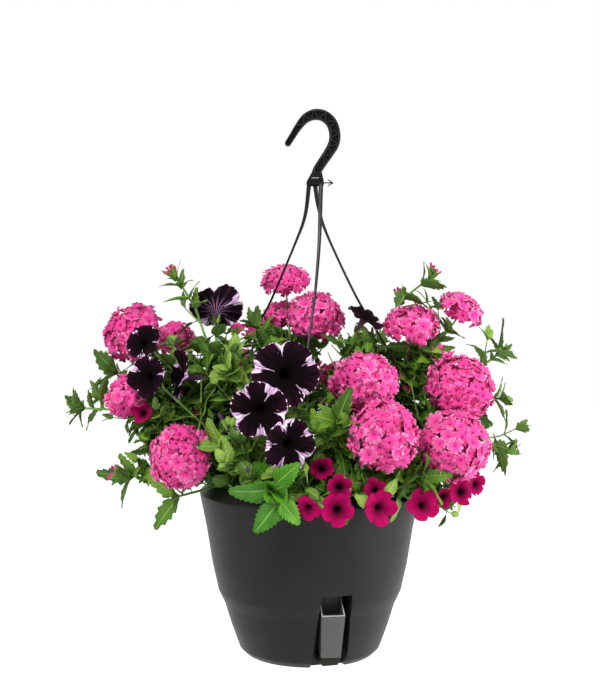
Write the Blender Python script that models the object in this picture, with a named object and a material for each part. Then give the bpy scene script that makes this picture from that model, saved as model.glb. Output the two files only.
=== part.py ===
"""Flowering hanging basket: a plastic pot on a moulded hanger, planted with verbena and petunias.

Units are metres, +Z is up, -Y is the front. The origin is the middle of the pot's flat base.
"""
import math
import random

import bmesh
import bpy
from mathutils import Matrix, Vector
from mathutils.bvhtree import BVHTree

# Pot, turned: radius and height of each corner of its outside, from the base up to the inner lip
RIM_RADIUS = 0.135
RIM_HEIGHT = 0.200
POT_OUTSIDE = (
    (0.0660, 0.0000), (0.0772, 0.0020), (0.0846, 0.0085), (0.0968, 0.0392), (0.1052, 0.0640),
    (0.1122, 0.0815), (0.1196, 0.1126), (0.1267, 0.1576), (0.1344, 0.1965), (RIM_RADIUS, RIM_HEIGHT),
    (0.1238, 0.2106), (0.1222, 0.2110),
)
LIP_INNER_RADIUS = 0.1207
POT_WALL = 0.0028
POT_FLOOR = 0.0030
POT_SEGMENTS = 24
GAP = 0.0003

# Recess for the spout, in a frame turned to the recess's azimuth (0 is the front, + is to the right)
RECESS_AZIMUTH = math.radians(15.5)
RECESS_TOP = 0.0955
RECESS_HALF_WIDTH = (0.0220, 0.0185)
RECESS_BACK = (0.0620, 0.0760)
HOUSING_WALL = 0.0025
WINDOW_HALF_WIDTH = 0.0086
WINDOW_HEIGHTS = (0.0188, 0.0305)

# Spout: an open chute whose lip stands proud of the pot
SPOUT_WALL = 0.0018
SPOUT_BOTTOM = 0.0170
SPOUT_LIP_HEIGHT = 0.0715
SPOUT_BACK_HEIGHT = 0.0895
SPOUT_LIP_REACH = 0.1125
SPOUT_FOOT_REACH = 0.0930
SPOUT_HALF_WIDTH = (0.0117, 0.0138)
PLUG_HEIGHTS = (0.0062, 0.0165)
PLUG_REACH = 0.0905

# Reservoir insert and soil
INSERT_TOP = 0.0530
INSERT_THICKNESS = 0.0024
INSERT_RADIUS = 0.0960
WICK_RADIUS = (0.0150, 0.0200)
WICK_BOTTOM = 0.0070
INSERT_LEG_CIRCLE = 0.0560
INSERT_LEG_SIDE = 0.0060
INSERT_LEGS = 4
AIR_HOLES = 3
AIR_HOLE_CIRCLE = 0.0400
AIR_HOLE_RADIUS = 0.0022
# Soil's surface: radius and height at its edge, where its middle begins to level off, and at its middle
SOIL_SURFACE = ((0.1267, 0.1720), (0.0600, 0.1808), (0.0, 0.1830))

# Hanger: lugs inside the rim, strands, hub and hook
STRAND_RADIUS = 0.0015
STRAND_SIDES = 5
STRAND_AZIMUTHS = {"back_left": math.radians(-142), "front": math.radians(-22), "right": math.radians(98)}
LUG_RADIUS = 0.1160
LUG_HEIGHTS = (0.1862, 0.1892)
LUG_HALF_WIDTH = 0.0055
LUG_HOLE = 0.0022
COLLAR_RADIUS = 0.0029
BARB_RADIUS = 0.0032
HUB_HEIGHT = 0.5745
HUB_CENTRE = 0.0064
HUB_HALF_WIDTH = 0.0107
TAB_REACH = 0.0278
TAB_THICKNESS = 0.0014
BARB_END = (0.0216, 0.0038)
HOOK_DEPTH = 0.0090
HOOK_WEB = 0.0030
HOOK_EDGE = 0.0018
HOOK_RIB = 0.0013
# Middle of the hook's band, from the hub up and round to the tip: x, z and the band's width there
HOOK_LINE = (
    (0.0066, 0.5770, 0.0120), (0.0085, 0.5890, 0.0116), (0.0150, 0.6000, 0.0116), (0.0225, 0.6110, 0.0122),
    (0.0288, 0.6225, 0.0136), (0.0300, 0.6345, 0.0136), (0.0262, 0.6470, 0.0134), (0.0170, 0.6555, 0.0132),
    (0.0055, 0.6573, 0.0128), (-0.0055, 0.6525, 0.0110), (-0.0140, 0.6425, 0.0088), (-0.0207, 0.6322, 0.0078),
    (-0.0266, 0.6228, 0.0074),
)
# Each strand's way from the hub down to its lug
STRAND_POINTS = {
    "back_left": ((-0.0010, 0.0060, 0.5720), (-0.0058, 0.0155, 0.5363), (-0.0180, 0.0290, 0.5027),
                  (-0.0490, 0.0651, 0.4307), (-0.0655, 0.0848, 0.3963), (-0.0790, 0.1010, 0.3300)),
    "front": ((0.0133, -0.0050, 0.5720), (0.0110, -0.0240, 0.5025), (0.0055, -0.0560, 0.4400),
              (0.0015, -0.0700, 0.4125), (-0.0060, -0.0900, 0.3600), (-0.0136, -0.1000, 0.3200),
              (-0.0229, -0.1070, 0.2987)),
    "right": ((0.0062, 0.0020, 0.5720), (0.0112, 0.0010, 0.5426), (0.0225, 0.0024, 0.5093),
              (0.0566, 0.0074, 0.4379), (0.0847, 0.0116, 0.3915), (0.1100, 0.0155, 0.3440),
              (0.1210, 0.0170, 0.2800)),
}

# Verbena heads: middle of the dome, radius, florets, height over width, and the way the dome faces
VERBENA = {
    "low_left": ((-0.1490, -0.0900, 0.2552), 0.0355, 12, 0.90, (-0.45, -0.75, 0.25)),
    "far_left": ((-0.2198, 0.0400, 0.3900), 0.0365, 12, 0.90, (-0.55, -0.40, 0.65)),
    "mid_left": ((-0.2200, -0.0200, 0.3169), 0.0265, 10, 0.85, (-0.60, -0.35, 0.60)),
    "high_middle": ((-0.0302, 0.1100, 0.4515), 0.0300, 10, 0.60, (-0.05, -0.25, 1.00)),
    "middle_back": ((-0.0397, 0.1300, 0.4038), 0.0220, 8, 0.80, (-0.30, 0.00, 0.90)),
    "middle": ((0.0073, 0.0900, 0.4060), 0.0345, 11, 0.85, (0.10, -0.45, 0.80)),
    "right_of_middle": ((0.0639, -0.0500, 0.3342), 0.0375, 12, 0.85, (-0.10, -0.65, 0.70)),
    "front_right": ((0.0810, -0.1300, 0.2838), 0.0380, 13, 0.95, (0.10, -0.95, 0.25)),
    "high_right": ((0.1264, 0.0200, 0.3997), 0.0320, 11, 0.60, (0.00, -0.35, 0.95)),
    "far_right_top": ((0.1893, 0.0300, 0.4192), 0.0260, 9, 0.60, (0.50, -0.30, 0.80)),
    "mid_right": ((0.1802, -0.0200, 0.3278), 0.0405, 13, 0.90, (0.35, -0.75, 0.45)),
    "low_right": ((0.1665, -0.0800, 0.2655), 0.0400, 13, 0.90, (0.35, -0.85, 0.20)),
    "back_far_left": ((-0.1760, 0.1080, 0.3740), 0.0260, 7, 0.85, (-0.20, 0.40, 0.85)),
    "back_left": ((-0.1000, 0.1500, 0.3300), 0.0350, 9, 0.85, (-0.40, 0.80, 0.40)),
    "back_middle": ((0.0450, 0.1680, 0.3100), 0.0370, 9, 0.85, (0.10, 0.90, 0.30)),
    "back_right": ((0.1500, 0.1150, 0.3450), 0.0350, 9, 0.85, (0.50, 0.60, 0.60)),
}

# Dark petunias: middle of the face, radius, the way it faces, and the tube's length over the radius
PETUNIAS = {
    "high_left": ((-0.1163, 0.0300, 0.4266), 0.0335, (0.00, 0.80, 0.60), 1.00),
    "front_top": ((-0.0290, -0.1200, 0.3542), 0.0370, (0.05, -0.95, 0.30), 0.90),
    "front_left": ((-0.0575, -0.1500, 0.3154), 0.0310, (-0.20, -0.95, 0.00), 0.90),
    "front_low": ((-0.0231, -0.1500, 0.2763), 0.0285, (0.35, -0.90, -0.10), 0.90),
    "left_top": ((-0.2002, -0.0300, 0.3853), 0.0230, (-0.40, -0.70, 0.55), 0.90),
    "left_mid": ((-0.1910, -0.0700, 0.3466), 0.0245, (-0.50, -0.85, 0.15), 0.80),
    "left_side": ((-0.1609, -0.0300, 0.3432), 0.0310, (-0.95, -0.25, 0.10), 1.20),
    "right_top": ((0.0680, -0.0160, 0.4145), 0.0240, (0.50, -0.30, 0.80), 1.00),
    "back_left": ((-0.1450, 0.1050, 0.2900), 0.0320, (-0.60, 0.75, 0.20), 0.90),
    "back_right": ((0.1100, 0.1550, 0.2650), 0.0340, (0.40, 0.90, 0.10), 0.90),
    "back_middle": ((-0.0350, 0.1780, 0.2700), 0.0320, (-0.10, 1.00, 0.00), 0.90),
}

# Small magenta blooms, described the same way
MAGENTA = {
    "front_1": ((-0.0021, -0.1650, 0.2083), 0.0144, (-0.10, -0.95, 0.10), 1.0),
    "front_2": ((0.0287, -0.1700, 0.2081), 0.0180, (0.10, -0.95, 0.20), 1.0),
    "front_3": ((0.0328, -0.1450, 0.2272), 0.0140, (0.00, -0.90, 0.40), 1.0),
    "front_4": ((0.0764, -0.1650, 0.2072), 0.0193, (0.10, -0.95, 0.15), 1.0),
    "front_5": ((0.0739, -0.1330, 0.2246), 0.0125, (0.00, -0.80, 0.50), 1.0),
    "front_6": ((0.0142, -0.1200, 0.2458), 0.0136, (-0.10, -0.80, 0.50), 1.0),
    "right_1": ((0.1292, -0.1200, 0.2045), 0.0182, (0.35, -0.90, 0.10), 1.0),
    "right_2": ((0.1540, -0.0900, 0.2050), 0.0129, (0.10, -0.95, -0.10), 1.0),
    "right_3": ((0.1738, -0.0900, 0.2154), 0.0151, (0.30, -0.90, 0.00), 1.0),
    "right_4": ((0.1988, -0.0600, 0.2162), 0.0140, (0.60, -0.75, 0.20), 1.0),
    "right_5": ((0.1975, -0.0150, 0.2800), 0.0130, (0.50, -0.80, 0.20), 1.0),
    "left_1": ((-0.2008, -0.0450, 0.3000), 0.0130, (-0.60, -0.70, 0.20), 1.0),
    "back_1": ((-0.0700, 0.1680, 0.2120), 0.0180, (-0.30, 0.95, 0.10), 1.0),
    "back_2": ((0.0600, 0.1620, 0.2150), 0.0180, (0.20, 0.95, 0.20), 1.0),
}

# Leafy sprays: crown's place in the soil, the blooms that it carries, the ends of its free shoots,
# leaf kind
SPRAYS = {
    "left_low": ((-0.085, -0.040), ("verbena_low_left", "verbena_mid_left"),
                 ((-0.284, 0.000, 0.301), (-0.222, -0.050, 0.222), (-0.160, -0.085, 0.205)), "serrated"),
    "far_left": ((-0.088, 0.022), ("verbena_far_left", "verbena_back_far_left"),
                 ((-0.162, 0.005, 0.458), (-0.245, 0.020, 0.345)), "serrated"),
    "left_petunia": ((-0.052, -0.005), ("petunia_left_top", "petunia_left_mid", "petunia_left_side",
                                        "petunia_high_left", "magenta_left_1"), ((-0.095, -0.060, 0.350),),
                     "oval"),
    "front_petunia": ((-0.030, -0.055), ("petunia_front_top", "petunia_front_left", "petunia_front_low"),
                      ((-0.105, -0.110, 0.270),), "oval"),
    "front_sprig": ((-0.062, -0.088), (), ((-0.045, -0.163, 0.226),), "sprig"),
    "middle": ((-0.012, 0.040), ("verbena_high_middle", "verbena_middle_back", "verbena_middle"),
               ((-0.070, 0.070, 0.400),), "serrated"),
    "front_right": ((0.030, -0.040), ("verbena_right_of_middle", "verbena_front_right"),
                    ((0.030, -0.120, 0.300), (0.130, -0.110, 0.235)), "serrated"),
    "right": ((0.090, -0.022), ("verbena_mid_right", "verbena_low_right"),
              ((0.238, 0.020, 0.368), (0.238, -0.010, 0.316), (0.236, -0.030, 0.250)), "serrated"),
    "right_top": ((0.055, 0.025), ("verbena_high_right", "verbena_far_right_top", "petunia_right_top"),
                  ((0.150, 0.040, 0.458),), "serrated"),
    "front_magenta": ((0.025, -0.092), ("magenta_front_1", "magenta_front_2", "magenta_front_3",
                                        "magenta_front_4", "magenta_front_5", "magenta_front_6"), (), "oval"),
    "right_magenta": ((0.078, -0.072), ("magenta_right_1", "magenta_right_2", "magenta_right_3",
                                        "magenta_right_4", "magenta_right_5"), (), "oval"),
    "back_left": ((-0.055, 0.070), ("verbena_back_left", "petunia_back_left", "petunia_back_middle",
                                    "magenta_back_1"), ((-0.210, 0.110, 0.280),), "serrated"),
    "back_right": ((0.050, 0.080), ("verbena_back_middle", "verbena_back_right", "petunia_back_right",
                                    "magenta_back_2"), ((0.210, 0.090, 0.285),), "serrated"),
}
# Petunias that the photograph shows close to, which get more columns round their rim
NEAR_PETUNIAS = ("petunia_high_left", "petunia_front_top", "petunia_front_left", "petunia_front_low")
NEAR_COLUMNS = 15
FAR_COLUMNS = 10
# A verbena's dome: how far it reaches round, and the radius of each of its features as a share of its own
DOME_REACH = math.radians(118)
FLORET_EYE = 0.90
FLORET_GAP = 0.70
PETAL_NOTCH = 0.82
UNDERSIDE_RING = 0.50
UNDERSIDE_MIDDLE = 0.40
PETAL_LEAN = 0.45
NOTCH_LEAN = 0.28
VERBENA_BACK = 0.40
# A petunia: the blade's thickness, and its other measures as shares of the radius
PETAL_THICKNESS = 0.0009
THROAT = 0.16
TUBE_END = 0.085
LOBE_NOTCH = 0.80
RIM_WAVE = 0.07
NOTCH_DIP = 0.05
WELL_DEPTH = 0.30
SETTLE_STEP = 0.003
SETTLE_TRIALS = 16
SEAT_GAP = 0.00035
CROWN_RADIUS = 0.0036
CROWN_DEPTH = 0.020
CROWN_STAND = 0.010
STEM_RADII = (0.0016, 0.0011)
STEM_SIDES = 3
BLADE_THICKNESS = 0.0007
CLEARANCE = 0.0006
# Half width of each kind of leaf along its length, as shares of the length; serrated ones step in and out
LEAF_SHAPES = {
    "serrated": ((0.28, 0.235), (0.42, 0.145), (0.60, 0.200)),
    "sprig": ((0.22, 0.230), (0.34, 0.190), (0.46, 0.250), (0.60, 0.165), (0.72, 0.185)),
    "oval": ((0.32, 0.225), (0.70, 0.245)),
}
LEAF_LENGTHS = {"serrated": (0.040, 0.054), "sprig": (0.042, 0.052), "oval": (0.032, 0.044)}
LEAF_ROOT = 0.0010
LEAVES_AT_NODE = {"serrated": 2, "sprig": 2, "oval": 1}
# Way along a stem between one leaf node and the next, and the share of the stem that stays bare
LEAF_SPACING = {"serrated": 0.100, "sprig": 0.024, "oval": 0.100}
BARE_SHARE = 0.42
TUFT_SHARE = 0.955
SIDE_LEAN = 1.15
TUFT_LEAN = 0.75
STEM_TRIALS = 240
LEAF_TRIALS = 12
GOLDEN_ANGLE = math.pi * (3.0 - math.sqrt(5.0))

COLOURS = {
    "anthracite": ("3A3938", 0.42),
    "hanger_black": ("2B2D2F", 0.40),
    "spout_grey": ("6C6C6C", 0.45),
    "plug_black": ("24251F", 0.55),
    "insert_black": ("1D1E20", 0.50),
    "soil": ("2E2118", 0.95),
    "verbena_pink": ("F5529E", 0.55),
    "petunia_dark": ("1B0915", 0.45),
    "petunia_magenta": ("B8085F", 0.50),
    "leaf_green": ("3F7F1A", 0.50),
    "leaf_bright": ("55A024", 0.50),
}


def finish(name):
    """The material of one colour, made when it is first asked for."""
    if name in bpy.data.materials:
        return bpy.data.materials[name]
    code, roughness = COLOURS[name]
    channels = []
    for start in (0, 2, 4):
        value = int(code[start:start + 2], 16) / 255.0
        channels.append(value / 12.92 if value <= 0.04045 else ((value + 0.055) / 1.055) ** 2.4)
    material = bpy.data.materials.new(name)
    material.use_nodes = True
    shader = material.node_tree.nodes["Principled BSDF"]
    shader.inputs["Base Color"].default_value = (*channels, 1.0)
    shader.inputs["Roughness"].default_value = roughness
    shader.inputs["Metallic"].default_value = 0.0
    return material


def add_object(name, shape, colour=None, smooth_angle=None):
    """Turn a bmesh into an object of the scene."""
    mesh = bpy.data.meshes.new(name)
    shape.to_mesh(mesh)
    shape.free()
    thing = bpy.data.objects.new(name, mesh)
    bpy.context.scene.collection.objects.link(thing)
    if colour:
        mesh.materials.append(finish(colour))
    if smooth_angle:
        mesh.shade_smooth()
        mesh.set_sharp_from_angle(angle=math.radians(smooth_angle))
    return thing


def apply_modifiers(thing):
    """Replace a thing's mesh by what its modifiers make of it."""
    graph = bpy.context.evaluated_depsgraph_get()
    old = thing.data
    thing.data = bpy.data.meshes.new_from_object(thing.evaluated_get(graph))
    thing.modifiers.clear()
    bpy.data.meshes.remove(old)


def cut_or_join(thing, tool, operation):
    """One Boolean between two objects, applied; the tool object is then removed."""
    change = thing.modifiers.new(operation.lower(), "BOOLEAN")
    change.operation = operation
    change.solver = "EXACT"
    change.object = tool
    apply_modifiers(thing)
    bpy.data.objects.remove(tool)


def fuse(name, shapes, colour, solver="MANIFOLD"):
    """Join closed shapes into one body with a single Boolean on a collection."""
    body = add_object(name, shapes[0], colour)
    group = bpy.data.collections.new(name + "_pieces")
    bpy.context.scene.collection.children.link(group)
    for index, shape in enumerate(shapes[1:]):
        piece = add_object(f"{name}_piece_{index}", shape)
        bpy.context.scene.collection.objects.unlink(piece)
        group.objects.link(piece)
    change = body.modifiers.new("join", "BOOLEAN")
    change.operation = "UNION"
    change.operand_type = "COLLECTION"
    change.collection = group
    change.solver = solver
    apply_modifiers(body)
    for piece in list(group.objects):
        bpy.data.objects.remove(piece)
    bpy.data.collections.remove(group)
    return body


def outwards(shape):
    """Merge a closed shape's doubles and point its faces out."""
    bmesh.ops.remove_doubles(shape, verts=shape.verts[:], dist=1e-6)
    bmesh.ops.recalc_face_normals(shape, faces=shape.faces[:])
    return shape


def turned(profile, segments):
    """Spin a profile of (radius, height) points round the Z axis into a closed body."""
    shape = bmesh.new()
    corners = [shape.verts.new((radius, 0.0, height)) for radius, height in profile]
    edges = [shape.edges.new(pair) for pair in zip(corners, corners[1:])]
    bmesh.ops.spin(shape, geom=corners + edges, cent=(0, 0, 0), axis=(0, 0, 1),
                   angle=math.tau, steps=segments, use_merge=True)
    return outwards(shape)


def block(corners):
    """A closed body with flat sides round the given corners."""
    shape = bmesh.new()
    verts = [shape.verts.new(corner) for corner in corners]
    bmesh.ops.convex_hull(shape, input=verts)
    bmesh.ops.dissolve_limit(shape, angle_limit=math.radians(0.5), verts=shape.verts[:], edges=shape.edges[:])
    return outwards(shape)


def wedge(low, high, front, back, half_widths, azimuth=0.0):
    """A block between two heights; front, back and half width are given at each height."""
    corners = []
    for height, reach, rear, half in zip((low, high), front, back, half_widths):
        for side in (-half, half):
            corners.append(Vector((side, -reach, height)))
            corners.append(Vector((side, -rear, height)))
    shape = block(corners)
    bmesh.ops.rotate(shape, verts=shape.verts[:], cent=(0, 0, 0), matrix=Matrix.Rotation(azimuth, 3, "Z"))
    return shape


def along(pair, height, top):
    """A value between two, by height from the base to the top."""
    return pair[0] + (pair[1] - pair[0]) * height / top


def recess_shape(growth):
    """The recess's wedge, grown on every side by the same amount."""
    low = -0.006
    high = RECESS_TOP + growth
    halves = [along(RECESS_HALF_WIDTH, height, RECESS_TOP) + growth for height in (low, high)]
    backs = [along(RECESS_BACK, height, RECESS_TOP) - growth for height in (low, high)]
    return wedge(low, high, (0.150, 0.150), backs, halves, RECESS_AZIMUTH)


def inner_profile():
    """The inside of the pot's wall, from the floor up to the lip."""
    points = [(0.0, POT_FLOOR), (POT_OUTSIDE[1][0] - POT_WALL, POT_FLOOR)]
    for radius, height in POT_OUTSIDE[2:9:2]:
        points.append((radius - POT_WALL, height + 0.0004))
    points.append((RIM_RADIUS - POT_WALL, RIM_HEIGHT - 0.0022))
    points.append((LIP_INNER_RADIUS, POT_OUTSIDE[-2][1] - 0.0024))
    return points


def inner_radius(height):
    """Radius of the pot's inside at a height."""
    points = inner_profile()[1:]
    for (low_radius, low), (high_radius, high) in zip(points, points[1:]):
        if low <= height <= high:
            return low_radius + (high_radius - low_radius) * (height - low) / (high - low)
    return points[0][0]


def ring_place(radius, azimuth, height=0.0):
    """A point at a radius and azimuth, where azimuth 0 is the front."""
    return Vector((radius * math.sin(azimuth), -radius * math.cos(azimuth), height))


def pillar(centre, radius, low, high, sides, tip_radius=None):
    """An upright round post, or a cone where its tip radius is given."""
    shape = bmesh.new()
    tip = radius if tip_radius is None else tip_radius
    place = Matrix.Translation((centre[0], centre[1], (low + high) / 2))
    bmesh.ops.create_cone(shape, cap_ends=True, segments=sides, radius1=radius, radius2=tip,
                          depth=high - low, matrix=place)
    return shape


def make_pot():
    """The pot: a turned wall and floor, the housing of the recess, and a lug for each strand."""
    outside = [(0.0, 0.0)] + list(POT_OUTSIDE) + [(0.0, POT_OUTSIDE[-1][1])]
    pot = add_object("pot_shell", turned(outside, POT_SEGMENTS), "anthracite")
    top = POT_OUTSIDE[-1][1] + 0.010
    inside = inner_profile() + [(LIP_INNER_RADIUS, top), (0.0, top)]
    cavity = add_object("cavity", turned(inside, POT_SEGMENTS))
    cut_or_join(cavity, add_object("housing", recess_shape(HOUSING_WALL)), "DIFFERENCE")
    cut_or_join(pot, cavity, "DIFFERENCE")
    cut_or_join(pot, add_object("recess", recess_shape(0.0)), "DIFFERENCE")
    low, high = WINDOW_HEIGHTS
    window = wedge(low, high, (0.075, 0.075), (0.045, 0.045), (WINDOW_HALF_WIDTH,) * 2, RECESS_AZIMUTH)
    cut_or_join(pot, add_object("window", window), "DIFFERENCE")
    for azimuth in STRAND_AZIMUTHS.values():
        low, high = LUG_HEIGHTS
        wall = inner_radius(low) + 0.0012
        lug = wedge(low, high, (wall, wall), (LUG_RADIUS - 0.0045,) * 2, (LUG_HALF_WIDTH,) * 2, azimuth)
        cut_or_join(pot, add_object("lug", lug), "UNION")
        hole = pillar(ring_place(LUG_RADIUS, azimuth), LUG_HOLE, low - 0.003, high + 0.003, 6)
        cut_or_join(pot, add_object("lug_hole", hole), "DIFFERENCE")
    return pot


def make_insert():
    """The false floor over the water: a plate with a wick cup, legs, air holes and room for the recess."""
    low = INSERT_TOP - INSERT_THICKNESS
    wall = INSERT_THICKNESS
    profile = [
        (0.0, WICK_BOTTOM), (WICK_RADIUS[0] + wall, WICK_BOTTOM), (WICK_RADIUS[1] + wall, low),
        (INSERT_RADIUS, low), (INSERT_RADIUS + 0.0008, INSERT_TOP), (WICK_RADIUS[1], INSERT_TOP),
        (WICK_RADIUS[0], WICK_BOTTOM + wall), (0.0, WICK_BOTTOM + wall),
    ]
    insert = add_object("reservoir_insert", turned(profile, POT_SEGMENTS), "insert_black")
    side = INSERT_LEG_SIDE / 2
    for index in range(INSERT_LEGS):
        azimuth = RECESS_AZIMUTH + math.tau * (index + 0.5) / INSERT_LEGS
        leg = wedge(POT_FLOOR + GAP, low + 0.0008, (INSERT_LEG_CIRCLE + side,) * 2,
                    (INSERT_LEG_CIRCLE - side,) * 2, (side, side), azimuth)
        cut_or_join(insert, add_object("leg", leg), "UNION")
    for index in range(AIR_HOLES):
        azimuth = RECESS_AZIMUTH + math.tau * (index + 0.5) / AIR_HOLES
        place = ring_place(AIR_HOLE_CIRCLE, azimuth)
        hole = pillar(place, AIR_HOLE_RADIUS, low - 0.003, INSERT_TOP + 0.003, 6)
        cut_or_join(insert, add_object("air_hole", hole), "DIFFERENCE")
    cut_or_join(insert, add_object("housing", recess_shape(HOUSING_WALL + 0.0006)), "DIFFERENCE")
    return insert


def chute(inset, lift):
    """The spout's wedge between its foot and its sloping mouth, drawn in by an inset."""
    corners = []
    low = SPOUT_BOTTOM + lift
    rows = (
        (low, SPOUT_FOOT_REACH, SPOUT_HALF_WIDTH[0]),
        (low, along(RECESS_BACK, low, RECESS_TOP) + GAP, SPOUT_HALF_WIDTH[0]),
        (SPOUT_LIP_HEIGHT, SPOUT_LIP_REACH, SPOUT_HALF_WIDTH[1]),
        (SPOUT_BACK_HEIGHT, along(RECESS_BACK, SPOUT_BACK_HEIGHT, RECESS_TOP) + GAP, SPOUT_HALF_WIDTH[1]),
    )
    for index, (height, reach, half) in enumerate(rows):
        step = inset if index in (0, 2) else -inset
        rise = 0.004 if inset and index >= 2 else 0.0
        for side in (-1, 1):
            corners.append(Vector((side * (half - inset), -(reach - step), height + rise)))
    shape = block(corners)
    bmesh.ops.rotate(shape, verts=shape.verts[:], cent=(0, 0, 0), matrix=Matrix.Rotation(RECESS_AZIMUTH, 3, "Z"))
    return shape


def make_spout():
    """The filler spout: an open chute with a nose that passes through the window into the water space."""
    spout = add_object("filler_spout", chute(0.0, 0.0), "spout_grey")
    low, high = WINDOW_HEIGHTS
    half = WINDOW_HALF_WIDTH - 0.0005
    nose = wedge(low + 0.0005, high - 0.0005, (0.072, 0.072), (0.0555, 0.0555), (half, half), RECESS_AZIMUTH)
    cut_or_join(spout, add_object("nose", nose), "UNION")
    cut_or_join(spout, add_object("chute_hollow", chute(SPOUT_WALL, 0.0035)), "DIFFERENCE")
    half -= SPOUT_WALL
    outlet = wedge(low + 0.0020, high - 0.0020, (0.076, 0.076), (0.050, 0.050), (half, half), RECESS_AZIMUTH)
    cut_or_join(spout, add_object("outlet", outlet), "DIFFERENCE")
    return spout


def make_plug():
    """The dark block that closes the recess below the spout."""
    low, high = PLUG_HEIGHTS
    backs = [along(RECESS_BACK, height, RECESS_TOP) + GAP + 0.0001 for height in (low, high)]
    shape = wedge(low, high, (PLUG_REACH - 0.0020, PLUG_REACH), backs, (0.0098, 0.0112), RECESS_AZIMUTH)
    edges = [edge for edge in shape.edges if edge.calc_face_angle(0) > 1.0]
    bmesh.ops.bevel(shape, geom=edges, offset=0.0006, segments=1, profile=0.5, affect="EDGES", material=-1)
    return add_object("overflow_plug", shape, "plug_black")


def make_soil():
    """Soil from the insert up to below the lip, with a plain hole for each spray's crown."""
    profile = [
        (0.0, WICK_BOTTOM + 0.0028), (WICK_RADIUS[0] - 0.0005, WICK_BOTTOM + 0.0028),
        (WICK_RADIUS[1] - 0.0005, INSERT_TOP + GAP), (inner_radius(INSERT_TOP) - 2 * GAP, INSERT_TOP + GAP),
    ]
    for height in (0.1130, SOIL_SURFACE[0][1]):
        profile.append((inner_radius(height) - 1.5 * GAP, height))
    profile += SOIL_SURFACE[1:]
    soil = add_object("potting_soil", turned(profile, POT_SEGMENTS), "soil")
    cut_or_join(soil, add_object("housing", recess_shape(HOUSING_WALL + GAP * 1.5)), "DIFFERENCE")
    for place, *_ in SPRAYS.values():
        hole = pillar(place, CROWN_RADIUS + 0.0005, soil_height(place) - CROWN_DEPTH - 0.001, 0.200, 6)
        cut_or_join(soil, add_object("crown_hole", hole), "DIFFERENCE")
    return soil


def soil_height(place):
    """Height of the soil's surface at a place."""
    radius = math.hypot(place[0], place[1])
    for (far, low), (near, high) in zip(SOIL_SURFACE, SOIL_SURFACE[1:]):
        if radius >= near:
            return high + (low - high) * (radius - near) / (far - near)
    return SOIL_SURFACE[-1][1]


def swept(outline, frames):
    """Extrude an outline, drawn in the XY plane, from frame to frame into one closed body."""
    shape = bmesh.new()
    face = shape.faces.new([shape.verts.new(frames[0] @ Vector((x, y, 0.0))) for x, y in outline])
    for index, (old, new) in enumerate(zip(frames, frames[1:])):
        grown = bmesh.ops.extrude_face_region(shape, geom=[face])
        if index:
            bmesh.ops.delete(shape, geom=[face], context="FACES_ONLY")
        verts = [item for item in grown["geom"] if isinstance(item, bmesh.types.BMVert)]
        face = [item for item in grown["geom"] if isinstance(item, bmesh.types.BMFace)][0]
        bmesh.ops.transform(shape, matrix=new @ old.inverted(), verts=verts)
    bmesh.ops.triangulate(shape, faces=shape.faces[:])
    return outwards(shape)


def heading(points, index):
    """Direction of a line of points at one of them."""
    return (points[min(index + 1, len(points) - 1)] - points[max(index - 1, 0)]).normalized()


def rod_frames(route, radii):
    """A frame at each point of a route, its Z axis along the route and its scale the radius there."""
    frames = []
    turn = None
    for index, point in enumerate(route):
        ahead = heading(route, index)
        if turn is None:
            turn = Vector((0, 0, 1)).rotation_difference(ahead)
        else:
            turn = (turn @ Vector((0, 0, 1))).rotation_difference(ahead) @ turn
        frames.append(Matrix.LocRotScale(point, turn, Vector((radii[index],) * 3)))
    return frames


def tapered(radii, count):
    """Radii in even steps from the first to the last."""
    return [radii[0] + (radii[1] - radii[0]) * index / (count - 1) for index in range(count)]


def ring_corners(sides):
    """Corners of an even outline with a radius of one."""
    return [(math.cos(math.tau * side / sides), math.sin(math.tau * side / sides)) for side in range(sides)]


def rod(route, radii, sides):
    """A thin rod along a route, with as many flat sides as given."""
    return swept(ring_corners(sides), rod_frames(route, radii))


def band_frames(points, widths, depth):
    """Frames along a line in the XZ plane: X across the band, Y through its depth."""
    frames = []
    for index, (point, width) in enumerate(zip(points, widths)):
        ahead = heading(points, index)
        side = Vector((-ahead.z, 0.0, ahead.x))
        turn = Matrix((side * width, Vector((0.0, depth, 0.0)), ahead)).transposed()
        frames.append(Matrix.Translation(point) @ turn.to_4x4())
    return frames


def band(points, widths, depth):
    """A flat band of changing width along a line in the XZ plane, with a thickness along Y."""
    return swept([(-0.5, -0.5), (0.5, -0.5), (0.5, 0.5), (-0.5, 0.5)], band_frames(points, widths, depth))


def hook_beam(points, widths):
    """The hook's band with a thin web and a raised edge on each side, like a bent I beam."""
    web = HOOK_WEB / HOOK_DEPTH / 2
    lip = 0.5 - HOOK_EDGE / (sum(widths) / len(widths))
    outline = [
        (-0.5, -0.5), (-lip, -0.5), (-lip, -web), (lip, -web), (lip, -0.5), (0.5, -0.5),
        (0.5, 0.5), (lip, 0.5), (lip, web), (-lip, web), (-lip, 0.5), (-0.5, 0.5),
    ]
    return swept(outline, band_frames(points, widths, HOOK_DEPTH))


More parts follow.
